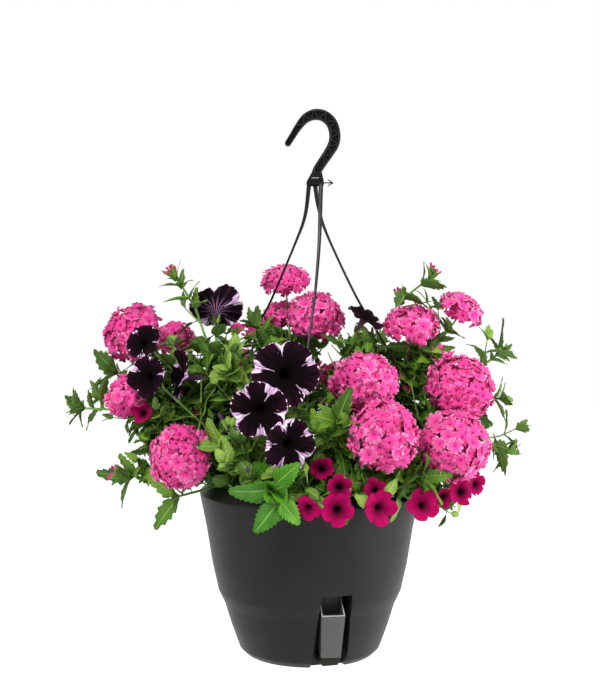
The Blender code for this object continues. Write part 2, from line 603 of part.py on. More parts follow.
def make_hanger():
    """One moulding: the hook with its edges and zig-zag ribs, the hub, its tab, and three strands."""
    points = [Vector((x, 0.0, z)) for x, z, _ in HOOK_LINE]
    widths = [width for _, _, width in HOOK_LINE]
    shapes = [hook_beam(points, widths)]
    for index in range(3, len(points) - 4):
        ends = []
        for step in (0, 1):
            ahead = heading(points, index + step)
            side = 1 if (index + step) % 2 else -1
            reach = (widths[index + step] - HOOK_EDGE) / 2 * side
            ends.append(points[index + step] + Vector((-ahead.z, 0.0, ahead.x)) * reach)
        shapes.append(band(ends, (HOOK_RIB, HOOK_RIB), HOOK_DEPTH - 0.0016))
    tip = bmesh.new()
    turn = Matrix.Translation(points[-1]) @ Matrix.Rotation(math.pi / 2, 4, "X")
    bmesh.ops.create_cone(tip, cap_ends=True, segments=8, radius1=widths[-1] / 2 + 0.0002,
                          radius2=widths[-1] / 2 + 0.0002, depth=HOOK_DEPTH + 0.0004, matrix=turn)
    shapes.append(tip)
    left, right = HUB_CENTRE - HUB_HALF_WIDTH, HUB_CENTRE + HUB_HALF_WIDTH
    shapes.append(block([(x, y, z) for x in (left, right) for y in (-0.0052, 0.0075)
                         for z in (HUB_HEIGHT - 0.0030, HUB_HEIGHT + 0.0030)]))
    shapes.append(block([(x, y, HUB_HEIGHT + 0.0020) for x in (left, right) for y in (-0.0040, 0.0040)]
                        + [(x, y, HUB_HEIGHT + 0.0085) for x in (-0.0010, 0.0150) for y in (-0.0040, 0.0040)]))
    tab = [Vector((right - 0.001, 0.0, HUB_HEIGHT + 0.001)), Vector((TAB_REACH, 0.0, HUB_HEIGHT + 0.001))]
    shapes.append(band(tab, [TAB_THICKNESS, TAB_THICKNESS], 0.0030))
    for rise in (-BARB_END[1], BARB_END[1]):
        barb = [tab[1], Vector((BARB_END[0], 0.0, tab[1].z + rise))]
        shapes.append(band(barb, [TAB_THICKNESS, 0.0010], 0.0028))
    for name, azimuth in STRAND_AZIMUTHS.items():
        foot = ring_place(LUG_RADIUS, azimuth)
        low, high = LUG_HEIGHTS
        start = Vector(STRAND_POINTS[name][0]) + Vector((0, 0, 0.0015))
        route = [start] + [Vector(point) for point in STRAND_POINTS[name][1:]]
        radii = [STRAND_RADIUS] * len(route)
        collar = ((0.2250, STRAND_RADIUS), (high + 0.0030, STRAND_RADIUS), (high + GAP, COLLAR_RADIUS),
                  (high + GAP / 2, STRAND_RADIUS), (low - GAP, STRAND_RADIUS), (low - GAP * 1.5, BARB_RADIUS),
                  (low - 0.0058, 0.0013))
        for height, radius in collar:
            route.append(Vector((foot.x, foot.y, height)))
            radii.append(radius)
        shapes.append(rod(route, radii, STRAND_SIDES))
    return fuse("hanger", shapes, "hanger_black")


class Garden:
    """What already stands, kept so that each new piece can be tested against it."""

    def __init__(self):
        self.solids = []

    def add(self, node, shape):
        """Remember a shape that belongs to a node."""
        low, high = bounds(shape)
        self.solids.append((node, low, high, BVHTree.FromBMesh(shape)))

    def clear(self, node, shape, margin=CLEARANCE):
        """Whether a shape stays clear of every other node by the margin."""
        grown = shape.copy()
        grown.normal_update()
        moves = [(vert, vert.normal * margin) for vert in grown.verts]
        for vert, move in moves:
            vert.co += move
        low, high = bounds(grown)
        tree = None
        free = True
        for owner, other_low, other_high, other in self.solids:
            if owner == node:
                continue
            if any(high[i] < other_low[i] or low[i] > other_high[i] for i in range(3)):
                continue
            tree = tree or BVHTree.FromBMesh(grown)
            if tree.overlap(other):
                free = False
                break
        grown.free()
        return free


def bounds(shape):
    """Lowest and highest corner of a shape."""
    low = [min(vert.co[i] for vert in shape.verts) for i in range(3)]
    high = [max(vert.co[i] for vert in shape.verts) for i in range(3)]
    return low, high


def facing_frame(place, facing, roll=0.0):
    """A frame whose Z axis looks the way a bloom faces."""
    turn = Vector(facing).normalized().to_track_quat("Z", "Y").to_matrix().to_4x4()
    return Matrix.Translation(place) @ turn @ Matrix.Rotation(roll, 4, "Z")


def dome_directions(count, reach):
    """Directions spread evenly over a dome, as on a sunflower."""
    spread = []
    for index in range(count):
        rise = 1.0 - (index + 0.5) / count * (1.0 - math.cos(reach))
        flat = math.sqrt(1.0 - rise * rise)
        angle = index * GOLDEN_ANGLE
        spread.append(Vector((flat * math.cos(angle), flat * math.sin(angle), rise)))
    return spread


def verbena_shape(place, radius, florets, height_ratio, facing, draw):
    """A dome of five-petalled florets: petal tips high, the notches and gaps between them low."""
    spacing = math.sqrt(math.tau * 1.35 / florets)
    reach = DOME_REACH - PETAL_LEAN * spacing
    centres = dome_directions(florets, reach)
    under = [Vector((math.cos(a), math.sin(a), -1.1)).normalized()
             for a in (math.tau * k / 5 for k in range(5))]
    net = bmesh.new()
    bmesh.ops.convex_hull(net, input=[net.verts.new(p) for p in centres + under])
    net.normal_update()
    spots = [(centre, FLORET_EYE) for centre in centres]
    spots += [(face.normal.copy(), FLORET_GAP) for face in net.faces if face.normal.z > -0.45]
    net.free()
    for centre in centres:
        side = centre.orthogonal().normalized()
        roll = Matrix.Rotation(draw.uniform(0, math.tau), 3, centre)
        high = draw.uniform(0.97, 1.03)
        for point in range(10):
            arm = Matrix.Rotation(math.tau * point / 10, 3, centre) @ roll @ side
            outer = point % 2 == 0
            lean = (PETAL_LEAN if outer else NOTCH_LEAN) * spacing
            spots.append(((centre + arm * math.tan(lean)).normalized(), high if outer else PETAL_NOTCH))
    spots += [(p, UNDERSIDE_RING) for p in under]
    spots.append((Vector((0, 0, -1)), UNDERSIDE_MIDDLE))
    shape = bmesh.new()
    made = [(shape.verts.new(direction), size) for direction, size in spots]
    bmesh.ops.convex_hull(shape, input=[vert for vert, _ in made])
    frame = facing_frame(place, facing)
    for vert, size in made:
        vert.co *= size * radius
        vert.co.z *= height_ratio
    bmesh.ops.transform(shape, matrix=frame, verts=shape.verts[:])
    bmesh.ops.recalc_face_normals(shape, faces=shape.faces[:])
    return shape


def trumpet_shape(place, radius, facing, tube, columns, small, draw):
    """A petunia: a lobed, waved face that narrows into a tube behind it."""
    roll = draw.uniform(0, math.tau)
    phase = draw.uniform(0, math.tau)
    shape = bmesh.new()
    edge = []
    for column in range(columns):
        angle = math.tau * column / columns
        share = (5 * column / columns) % 1.0
        notch = share < 0.01
        lobe = LOBE_NOTCH if notch else 1.0
        wave = RIM_WAVE * math.sin(3 * angle + phase) - (NOTCH_DIP if notch else 0.0)
        edge.append((lobe * radius, angle, wave * radius))
    throat = THROAT * radius
    rings = [
        [(throat, angle, -0.14 * radius) for _, angle, _ in edge],
        [(size, angle, rise) for size, angle, rise in edge],
        [(size * 0.985, angle, rise - PETAL_THICKNESS) for size, angle, rise in edge],
        [(throat + PETAL_THICKNESS, angle, -throat - PETAL_THICKNESS) for _, angle, _ in edge],
        [(TUBE_END * radius + 0.0006, angle, -tube * radius) for _, angle, _ in edge],
    ]
    if small:
        rings = [rings[1], rings[2], rings[4]]
    rows = [[shape.verts.new((s * math.cos(a), s * math.sin(a), z)) for s, a, z in ring] for ring in rings]
    well = shape.verts.new((0, 0, -WELL_DEPTH * radius))
    for low, high in zip(rows, rows[1:]):
        for index in range(columns):
            after = (index + 1) % columns
            shape.faces.new((low[index], low[after], high[after], high[index]))
    for index in range(columns):
        shape.faces.new((rows[0][index], well, rows[0][(index + 1) % columns]))
    shape.faces.new(rows[-1])
    bmesh.ops.triangulate(shape, faces=shape.faces[:])
    bmesh.ops.transform(shape, matrix=facing_frame(place, facing, roll), verts=shape.verts[:])
    bmesh.ops.recalc_face_normals(shape, faces=shape.faces[:])
    return shape


def settle(garden, node, place, make):
    """Make a bloom at its place, or as little in front of it or behind it as keeps it clear."""
    for step in range(SETTLE_TRIALS):
        for way in (1, -1):
            spot = Vector(place) + Vector((0.0, way * step * SETTLE_STEP, 0.0))
            shape = make(spot)
            if garden.clear(node, shape):
                return spot, shape
            shape.free()
    raise RuntimeError(f"{node} has no room")


def make_blooms(garden):
    """Every bloom, and the point and direction at which its stem arrives."""
    seats = {}
    tables = (("verbena_", VERBENA), ("petunia_", PETUNIAS), ("magenta_", MAGENTA))
    colours = {"verbena_": "verbena_pink", "petunia_": "petunia_dark", "magenta_": "petunia_magenta"}
    for prefix, table in tables:
        for number, (name, values) in enumerate(table.items()):
            node = prefix + name
            if prefix == "verbena_":
                place, radius, florets, height_ratio, facing = values

                def make(spot):
                    draw = random.Random(100 + number)
                    return verbena_shape(spot, radius, florets, height_ratio, facing, draw)
                back = VERBENA_BACK * radius * height_ratio
            else:
                place, radius, facing, tube = values
                small = prefix == "magenta_"
                columns = NEAR_COLUMNS if node in NEAR_PETUNIAS else FAR_COLUMNS

                def make(spot):
                    draw = random.Random(200 + number)
                    return trumpet_shape(spot, radius, facing, tube, columns, small, draw)
                back = tube * radius
            spot, shape = settle(garden, node, place, make)
            garden.add(node, shape)
            add_object(node, shape, colours[prefix])
            forward = Vector(facing).normalized()
            seats[node] = (spot - forward * (back + SEAT_GAP), forward)
    return seats


def stem_route(start, end, arrival, bend, nodes):
    """A smooth stem from its crown to its end, with two points close together at each leaf node."""
    outward = Vector((end.x - start.x, end.y - start.y, 0.0))
    span = (end - start).length
    first = start + (Vector((0, 0, 1.0)) + outward * 1.5).normalized() * span * 0.40 + bend * 0.6
    second = end - arrival * span * 0.28 + bend
    stops = [share + shift for share in nodes for shift in (-LEAF_ROOT / span / 2, LEAF_ROOT / span / 2)]
    route = []
    for share in [0.0] + stops:
        rest = 1.0 - share
        route.append(start * rest ** 3 + first * 3 * rest ** 2 * share
                     + second * 3 * rest * share ** 2 + end * share ** 3)
    return route + [end - arrival * min(0.004, span * 0.1), end]


def grow_stem(garden, node, start, end, arrival, nodes, draw):
    """The route of a stem that stays clear of every other node, bent as little as that takes."""
    for attempt in range(STEM_TRIALS):
        reach = 0.0016 * attempt ** 0.75
        bend = Vector((draw.uniform(-1, 1), draw.uniform(-1, 1), draw.uniform(-0.4, 1))) * reach
        route = stem_route(start, end, arrival, bend, nodes)
        last = rod(route[-2:], (STEM_RADII[1],) * 2, STEM_SIDES)
        body = rod(route[:-1], tapered(STEM_RADII, len(route) - 1), STEM_SIDES)
        free = garden.clear(node, body) and garden.clear(node, last, 0.00015)
        last.free()
        if free:
            return route, body
        body.free()
    raise RuntimeError(f"{node} has no way for a stem to {tuple(end)}")


def raise_leaf(shape, ring, kind, lean, yaw, length, arch):
    """Raise a thin arched blade with cut edges from the four corners of a stem's facet."""
    side = (ring[1].co - ring[0].co).normalized()
    forward = (ring[3].co - ring[0].co).normalized()
    out = side.cross(forward).normalized()
    ahead = forward * math.cos(lean) + out * math.sin(lean)
    top = forward * math.sin(lean) - out * math.cos(lean)
    ahead, side = ahead * math.cos(yaw) + side * math.sin(yaw), side * math.cos(yaw) - ahead * math.sin(yaw)
    root = (ring[2].co + ring[3].co) / 2
    for share, half in LEAF_SHAPES[kind]:
        middle = root + (ahead * share - top * arch * share ** 2) * length
        under = middle - top * BLADE_THICKNESS
        reach = side * half * length
        spots = (under - reach, under + reach, middle + reach, middle - reach)
        new = [shape.verts.new(spot) for spot in spots]
        for index in range(4):
            after = (index + 1) % 4
            shape.faces.new((ring[index], ring[after], new[after], new[index]))
        ring = new
    tip = shape.verts.new(root + (ahead - top * arch) * length - top * BLADE_THICKNESS / 2)
    for index in range(4):
        shape.faces.new((ring[index], ring[(index + 1) % 4], tip))


def leaf_trial(ring, values):
    """A leaf as a closed body of its own, to test whether it has room."""
    trial = bmesh.new()
    corners = [trial.verts.new(vert.co) for vert in ring]
    trial.faces.new(corners)
    raise_leaf(trial, corners, *values)
    bmesh.ops.recalc_face_normals(trial, faces=trial.faces[:])
    return trial


def grow_leaf(garden, own, node, stem, ring, kind, lean, draw):
    """The values of a leaf on a facet, turned and shortened until it is clear, and its trial; or none."""
    low, high = LEAF_LENGTHS[kind]
    for attempt in range(LEAF_TRIALS):
        slack = 0.08 * attempt
        values = (kind, max(lean + draw.uniform(-0.1 - slack, 0.1 + slack / 2), 0.35),
                  draw.uniform(-slack, slack), draw.uniform(low, high) * (1.0 - 0.04 * attempt),
                  draw.uniform(0.10, 0.30))
        trial = leaf_trial(ring, values)
        if garden.clear(node, trial) and own.clear(stem, trial):
            return values, trial
        trial.free()
    return None


def grow_stems(garden, seats, name, crown, carried, shoots, kind, seed):
    """A crown in the soil, and the route of a stem to each bloom and to the end of each free shoot."""
    node = "spray_" + name
    draw = random.Random(seed)
    ground = soil_height(crown)
    low, high = ground - CROWN_DEPTH, ground + CROWN_STAND
    shape = pillar(crown, CROWN_RADIUS, low, high, 6, CROWN_RADIUS * 0.8)
    garden.add(node, shape)
    middle = Vector((crown[0], crown[1], high - 0.003))
    ends = [(*seats[bloom], False) for bloom in carried]
    for shoot in shoots:
        end = Vector(shoot)
        outward = Vector((end.x - middle.x, end.y - middle.y, 0.35 * (end.z - middle.z))).normalized()
        ends.append((end, outward, True))
    stems = []
    own = Garden()
    for index, (end, arrival, tufted) in enumerate(ends):
        count = max(1 if tufted else 2, round((end - middle).length * (1.0 - BARE_SHARE) / LEAF_SPACING[kind]))
        step = (1.0 - BARE_SHARE) / count
        nodes = [BARE_SHARE + step * (k + draw.uniform(0.20, 0.65)) for k in range(count)]
        if tufted:
            nodes.append(TUFT_SHARE)
        aside = Vector((end.x - middle.x, end.y - middle.y, 0.0)).normalized() * CROWN_RADIUS * 0.45
        route, body = grow_stem(garden, node, middle + aside, end, arrival, nodes, draw)
        garden.add(node, body)
        own.add(str(index), body)
        body.free()
        stems.append((route, tufted))
    return shape, stems, own


def grow_leaves(garden, name, kind, crown, stems, own, seed):
    """Leaves raised from the stems' facets at each node, and a tuft at the end of each free shoot."""
    node = "spray_" + name
    draw = random.Random(seed)
    shapes = [crown]
    for index, (route, tufted) in enumerate(stems):
        shape = bmesh.new()
        rows = []
        for frame in rod_frames(route, tapered(STEM_RADII, len(route))):
            rows.append([shape.verts.new(frame @ Vector((x, y, 0.0))) for x, y in ring_corners(STEM_SIDES)])
        taken = set()
        for row in range(1, len(rows) - 3, 2):
            tuft = tufted and row == len(rows) - 4
            if tuft:
                room = STEM_SIDES
            elif row == 1 and not tufted:
                room = 1
            else:
                room = LEAVES_AT_NODE[kind]
            trials = []
            for side in draw.sample(range(STEM_SIDES), STEM_SIDES):
                after = (side + 1) % STEM_SIDES
                ring = [rows[row][side], rows[row][after], rows[row + 1][after], rows[row + 1][side]]
                lean = TUFT_LEAN if tuft else SIDE_LEAN
                found = grow_leaf(garden, own, node, str(index), ring, kind, lean, draw)
                if found and len(trials) < room:
                    raise_leaf(shape, ring, *found[0])
                    taken.add((row, side))
                    trials.append(found[1])
            for trial in trials:
                own.add("leaf", trial)
                garden.add(node, trial)
                trial.free()
        for row, (low, high) in enumerate(zip(rows, rows[1:])):
            for side in range(STEM_SIDES):
                after = (side + 1) % STEM_SIDES
                if (row, side) not in taken:
                    shape.faces.new((low[side], low[after], high[after], high[side]))
        shape.faces.new(rows[0])
        shape.faces.new(rows[-1])
        bmesh.ops.triangulate(shape, faces=shape.faces[:])
        bmesh.ops.recalc_face_normals(shape, faces=shape.faces[:])
        shapes.append(shape)
    fuse(node, shapes, "leaf_bright" if kind == "sprig" else "leaf_green")


def remember(garden, thing):
    """Keep a finished object's solid in the garden."""
    shape = bmesh.new()
    shape.from_mesh(thing.data)
    garden.add(thing.name, shape)
    shape.free()


def main():
    for thing in list(bpy.data.objects):
        bpy.data.objects.remove(thing)
    garden = Garden()
    for thing in (make_pot(), make_insert(), make_spout(), make_plug(), make_soil(), make_hanger()):
        remember(garden, thing)
    seats = make_blooms(garden)
    grown = []
    for number, (name, values) in enumerate(SPRAYS.items()):
        grown.append(grow_stems(garden, seats, name, *values, 300 + number))
    for number, (name, values) in enumerate(SPRAYS.items()):
        grow_leaves(garden, name, values[-1], *grown[number], 400 + number)


main()
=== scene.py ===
import math
import random

import bmesh
import bpy
from mathutils import Matrix, Vector, noise as pattern
from mathutils.kdtree import KDTree


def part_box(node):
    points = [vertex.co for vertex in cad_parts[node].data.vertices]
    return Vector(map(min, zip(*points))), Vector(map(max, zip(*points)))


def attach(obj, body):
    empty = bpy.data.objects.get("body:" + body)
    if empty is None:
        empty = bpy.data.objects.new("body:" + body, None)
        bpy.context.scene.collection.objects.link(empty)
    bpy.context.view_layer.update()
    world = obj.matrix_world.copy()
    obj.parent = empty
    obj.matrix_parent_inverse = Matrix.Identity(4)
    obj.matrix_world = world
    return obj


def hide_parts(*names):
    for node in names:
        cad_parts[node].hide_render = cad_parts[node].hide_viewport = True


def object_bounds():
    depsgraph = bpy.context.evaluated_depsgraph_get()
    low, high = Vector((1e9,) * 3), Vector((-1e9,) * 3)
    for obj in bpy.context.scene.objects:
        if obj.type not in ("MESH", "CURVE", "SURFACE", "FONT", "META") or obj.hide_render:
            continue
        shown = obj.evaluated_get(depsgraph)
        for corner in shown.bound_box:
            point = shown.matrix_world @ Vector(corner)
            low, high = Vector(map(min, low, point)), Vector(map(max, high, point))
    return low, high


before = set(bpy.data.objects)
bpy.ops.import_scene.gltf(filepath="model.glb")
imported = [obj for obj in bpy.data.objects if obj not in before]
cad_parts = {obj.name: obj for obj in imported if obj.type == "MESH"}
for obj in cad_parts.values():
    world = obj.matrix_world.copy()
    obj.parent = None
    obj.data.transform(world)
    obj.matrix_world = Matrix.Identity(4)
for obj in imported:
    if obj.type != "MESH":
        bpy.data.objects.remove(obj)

CAD_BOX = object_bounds()
GOLDEN_ANGLE = math.pi * (3.0 - math.sqrt(5.0))

# The camera of the photograph: 1.6 m in front of the pot's axis, looking slightly down
CAMERA_PLACE = (-0.012, -1.6, 0.476)
CAMERA_PITCH = 3.7
CAMERA_LENS = 67.5
FLOOR_HEIGHT = -0.34
# A soft sun from the front left, and a strip light on the right that draws the bright edges of the mouldings
LAMPS = (
    ("sun", "SUN", (-0.8, -1.6, 1.9), 2.6),
    ("strip", "AREA", (1.6, -0.5, 0.6), 26.0),
)

# Pot, turned: radius and height of its outside from the base up, where the wall steps in twice
RIM_RADIUS = 0.135
RIM_HEIGHT = 0.200
POT_OUTSIDE = (
    (0.0680, 0.0000), (0.0794, 0.0020), (0.0866, 0.0090), (0.0973, 0.0392), (0.1048, 0.0640),
    (0.1124, 0.0800), (0.1196, 0.1126), (0.1267, 0.1576), (0.1344, 0.1965),
    (RIM_RADIUS, RIM_HEIGHT), (0.1238, 0.2106), (0.1222, 0.2110),
)
LIP_INNER_RADIUS = 0.1207
POT_WALL = 0.0028
POT_FLOOR = 0.0030
POT_STEPS = 144
GAP = 0.0003

# Recess for the spout, in a frame turned to the recess's azimuth (0 is the front, + is to the right)
RECESS_AZIMUTH = math.radians(15.5)
RECESS_TOP = 0.0955
RECESS_HALF_WIDTH = (0.0220, 0.0185)
RECESS_BACK = (0.0620, 0.0760)
HOUSING_WALL = 0.0025
WINDOW_HALF_WIDTH = 0.0086
WINDOW_HEIGHTS = (0.0188, 0.0305)

# Spout: an open chute whose lip stands proud of the pot
SPOUT_WALL = 0.0018
SPOUT_BOTTOM = 0.0170
SPOUT_LIP_HEIGHT = 0.0715
SPOUT_BACK_HEIGHT = 0.0895
SPOUT_LIP_REACH = 0.1125
SPOUT_FOOT_REACH = 0.0930
SPOUT_HALF_WIDTH = (0.0117, 0.0138)
SPOUT_TURN = math.radians(-8.0)
SPOUT_PIVOT = 0.0880
SPOUT_BEAD = 0.0008
PLUG_HEIGHTS = (0.0062, 0.0165)
PLUG_REACH = 0.0905

# Reservoir insert
INSERT_TOP = 0.0530
INSERT_THICKNESS = 0.0024
INSERT_RADIUS = 0.0960
WICK_RADIUS = (0.0150, 0.0200)
WICK_BOTTOM = 0.0070

# Hanger: lugs inside the rim, strands, hub and hook
STRAND_RADII = (0.0029, 0.0015)
STRAND_AZIMUTHS = {"back_left": math.radians(-142), "front": math.radians(-22), "right": math.radians(98)}
LUG_RADIUS = 0.1160
LUG_HEIGHTS = (0.1862, 0.1892)
LUG_HALF_WIDTH = 0.0055
LUG_HOLE = 0.0022
COLLAR_RADIUS = 0.0029
BARB_RADIUS = 0.0032
HUB_HEIGHT = 0.5745
HUB_CENTRE = 0.0064
HUB_HALF_WIDTH = 0.0107
SHOULDER_TOP = 0.5890
SHOULDER_SPAN = (0.0027, 0.0143)
# A thin rib across the hub's front, drawn light grey as a painted highlight: its span and height
HIGHLIGHT_RIB_SPAN = (0.0019, 0.0109)
HIGHLIGHT_RIB_HEIGHT = 0.5812
TAB_REACH = 0.0278
BARB_END = (0.0216, 0.0038)
HOOK_DEPTH = 0.0090
HOOK_WEB = 0.0030
HOOK_EDGE = 0.0024
HOOK_RIB = 0.0018
# Middle of the hook's band, from the hub up and round to the tip: x, z and the band's width there
HOOK_LINE = (
    (0.0066, 0.5770, 0.0120), (0.0085, 0.5890, 0.0116), (0.0150, 0.6000, 0.0116), (0.0225, 0.6110, 0.0122),
    (0.0288, 0.6225, 0.0136), (0.0300, 0.6345, 0.0136), (0.0262, 0.6470, 0.0134), (0.0170, 0.6555, 0.0132),
    (0.0055, 0.6573, 0.0128), (-0.0055, 0.6525, 0.0110), (-0.0140, 0.6425, 0.0088), (-0.0207, 0.6322, 0.0078),
    (-0.0266, 0.6228, 0.0074),
)
# Each strand's way from the hub down to its lug
STRAND_POINTS = {
    "back_left": ((-0.0010, 0.0060, 0.5720), (-0.0058, 0.0155, 0.5363), (-0.0180, 0.0290, 0.5027),
                  (-0.0490, 0.0651, 0.4307), (-0.0655, 0.0848, 0.3963), (-0.0790, 0.1010, 0.3300)),
    "front": ((0.0133, -0.0050, 0.5720), (0.0110, -0.0240, 0.5025), (0.0055, -0.0560, 0.4400),
              (0.0015, -0.0700, 0.4125), (-0.0060, -0.0900, 0.3600), (-0.0136, -0.1000, 0.3200),
              (-0.0229, -0.1070, 0.2987)),
    "right": ((0.0062, 0.0020, 0.5720), (0.0112, 0.0010, 0.5426), (0.0225, 0.0024, 0.5093),
              (0.0566, 0.0074, 0.4379), (0.0847, 0.0116, 0.3915), (0.1100, 0.0155, 0.3440),
              (0.1210, 0.0170, 0.2800)),
}

# Soil's surface: radius and height at its edge, where it levels off, and at its middle
SOIL_SURFACE = ((0.1262, 0.1720), (0.0600, 0.1808), (0.0, 0.1830))
SOIL_CRUMBS = 420
CROWN_HEIGHT_ABOVE_FOOT = 0.027

# Verbena heads: radius, height over width, and the way the dome faces
VERBENA = {
    "low_left": (0.0355, 0.90, (-0.45, -0.75, 0.25)),
    "far_left": (0.0365, 0.90, (-0.55, -0.40, 0.65)),
    "mid_left": (0.0265, 0.85, (-0.60, -0.35, 0.60)),
    "high_middle": (0.0300, 0.60, (-0.05, -0.25, 1.00)),
    "middle_back": (0.0220, 0.80, (-0.30, 0.00, 0.90)),
    "middle": (0.0345, 0.85, (0.10, -0.45, 0.80)),
    "right_of_middle": (0.0375, 0.85, (-0.10, -0.65, 0.70)),
    "front_right": (0.0380, 0.95, (0.10, -0.95, 0.25)),
    "high_right": (0.0320, 0.60, (0.00, -0.35, 0.95)),
    "far_right_top": (0.0260, 0.60, (0.50, -0.30, 0.80)),
    "mid_right": (0.0405, 0.90, (0.35, -0.75, 0.45)),
    "low_right": (0.0400, 0.90, (0.35, -0.85, 0.20)),
    "back_far_left": (0.0260, 0.85, (-0.20, 0.40, 0.85)),
    "back_left": (0.0350, 0.85, (-0.40, 0.80, 0.40)),
    "back_middle": (0.0370, 0.85, (0.10, 0.90, 0.30)),
    "back_right": (0.0350, 0.85, (0.50, 0.60, 0.60)),
}
FLORET_RADIUS = 0.0108
FLORET_SPACING = 0.0149
FLORET_KINDS = 6
# Verbena petal, over six columns: how far each column turns about the tube, its reach, and how it curls
FLORET_PETAL = ((0.0, 0.56, -0.10), (-6.5, 0.86, 0.02), (-3.0, 1.01, 0.06),
                (0.0, 0.88, -0.04), (3.0, 1.01, 0.06), (6.5, 0.86, 0.02))
FLORET_PROFILE = ((0.0, -0.10), (0.30, 0.0), (1.0, 0.0), (0.0, -0.22))
DOME_REACH = math.radians(112)

# Petunia's outline, from the tube's foot to the rim: reach and height over the radius
TRUMPET = ((0.0, -1.0), (0.075, -0.98), (0.10, -0.70), (0.13, -0.40), (0.19, -0.20), (0.34, -0.10), (0.55, -0.045),
           (0.75, -0.012), (0.88, 0.0), (0.96, 0.0), (1.0, -0.01))
LOBES = 5

# Petunias: radius, the way the face looks, and the tube's length over the radius
PETUNIAS = {
    "high_left": (0.0335, (0.00, 0.80, 0.60), 1.00, 0.90),
    "front_top": (0.0370, (0.05, -0.95, 0.30), 0.90, 0.85),
    "front_left": (0.0310, (-0.20, -0.95, 0.00), 0.90, 0.85),
    "front_low": (0.0285, (0.35, -0.90, -0.10), 0.90, 0.90),
    "left_top": (0.0230, (-0.40, -0.70, 0.55), 0.90, 0.50),
    "left_mid": (0.0245, (-0.50, -0.85, 0.15), 0.80, 0.55),
    "left_side": (0.0310, (-0.95, -0.25, 0.10), 1.20, 0.75),
    "right_top": (0.0240, (0.50, -0.30, 0.80), 1.00, 0.45),
    "back_left": (0.0320, (-0.60, 0.75, 0.20), 0.90, 0.85),
    "back_right": (0.0340, (0.40, 0.90, 0.10), 0.90, 0.90),
    "back_middle": (0.0320, (-0.10, 1.00, 0.00), 0.90, 0.80),
}

# Small magenta blooms, described the same way
MAGENTA = {
    "front_1": (0.0144, (-0.10, -0.95, 0.10), 1.0),
    "front_2": (0.0180, (0.10, -0.95, 0.20), 1.0),
    "front_3": (0.0140, (0.00, -0.90, 0.40), 1.0),
    "front_4": (0.0193, (0.10, -0.95, 0.15), 1.0),
    "front_5": (0.0125, (0.00, -0.80, 0.50), 1.0),
    "front_6": (0.0136, (-0.10, -0.80, 0.50), 1.0),
    "right_1": (0.0182, (0.35, -0.90, 0.10), 1.0),
    "right_2": (0.0129, (0.10, -0.95, -0.10), 1.0),
    "right_3": (0.0151, (0.30, -0.90, 0.00), 1.0),
    "right_4": (0.0140, (0.60, -0.75, 0.20), 1.0),
    "right_5": (0.0130, (0.50, -0.80, 0.20), 1.0),
    "left_1": (0.0130, (-0.60, -0.70, 0.20), 1.0),
    "back_1": (0.0180, (-0.30, 0.95, 0.10), 1.0),
    "back_2": (0.0180, (0.20, 0.95, 0.20), 1.0),
}

# Each spray's kind of leaf
SPRAYS = {
    "left_low": "serrated", "far_left": "serrated", "left_petunia": "oval", "front_petunia": "oval",
    "front_sprig": "sprig", "middle": "serrated", "front_right": "serrated", "right": "serrated",
    "right_top": "serrated", "front_magenta": "oval", "right_magenta": "oval",
    "back_left": "serrated", "back_right": "serrated",
}
# The solids' leaves: share of the length and half width of each row, and the blade's thickness
SOLID_LEAVES = {
    "serrated": ((0.28, 0.235), (0.42, 0.145), (0.60, 0.200)),
    "sprig": ((0.22, 0.230), (0.34, 0.190), (0.46, 0.250), (0.60, 0.165), (0.72, 0.185)),
    "oval": ((0.32, 0.225), (0.70, 0.245)),
}
SOLID_BLADE = 0.0007
# The bright sprig's two low leaves, which hang in front of the pot: the node they grow from, and each root,
# tip and tone
LOW_NODE = (-0.0450, -0.1630, 0.2235)
# The first low leaf's tone of 0.15 is painted shade
LOW_LEAVES = (((-0.0370, -0.1650, 0.2130), (-0.0625, -0.1710, 0.1815), 0.15),
              ((-0.0335, -0.1655, 0.2170), (-0.0125, -0.1700, 0.1905), 0.60))
LEAF_OF_SPRAY = {"serrated": "leaf", "oval": "petunia_leaf", "sprig": "bright_leaf"}
# Side shoots: their length, the way between them, and each kind's leaves at the foot and at the tip
SHOOT_LENGTH = (0.035, 0.070)
SHOOT_SPACING = {"serrated": 0.012, "sprig": 1.0, "oval": 0.012}
UNDERGROWTH = 8
LEAF_SIZES = {"serrated": (0.044, 0.030), "sprig": (0.042, 0.030), "oval": (0.045, 0.032)}
LEAF_SPACING = {"serrated": 0.0140, "sprig": 0.0160, "oval": 0.0125}
# Above this height the leaves are the narrow ones below the buds, and this share of the stems end in buds
NARROW_ABOVE = 0.425
BUD_SHARE = 0.16
# How far a leaf's tip may be from the solids' stems and leaves, and past the solids' box
FOLIAGE_REACH = 0.026
BOX_SLACK = 0.006
# Past this height, and this far from the middle, the solids' big leaves are drawn small
FOLIAGE_TOP = 0.455
FOLIAGE_MIDDLE = -0.016
FOLIAGE_HALF = 0.262
# The fine leaves: half width, teeth on each side, depth of the teeth, fold along the rib
FINE_LEAVES = {
    "serrated": (0.290, 4, 0.28, 0.20),
    "sprig": (0.340, 7, 0.14, 0.14),
    "oval": (0.300, 0, 0.0, 0.14),
}
LINEAR_LEAF = 0.14


# Materials

def linear(code):
    """An sRGB hex colour as linear red, green, blue and alpha."""
    channels = [int(code[start:start + 2], 16) / 255.0 for start in (0, 2, 4)]
    return [c / 12.92 if c <= 0.04045 else ((c + 0.055) / 1.055) ** 2.4 for c in channels] + [1.0]


def per_metre(millimetres):
    """Scale of a pattern on Object coordinates whose features are this many millimetres across."""
    return 1000.0 / millimetres


def set_inputs(tree, node, inputs):
    """Give a node's inputs their values, or the outputs that feed them."""
    for socket, value in inputs.items():
        if isinstance(value, bpy.types.NodeSocket):
            tree.links.new(value, node.inputs[socket])
        else:
            node.inputs[socket].default_value = value


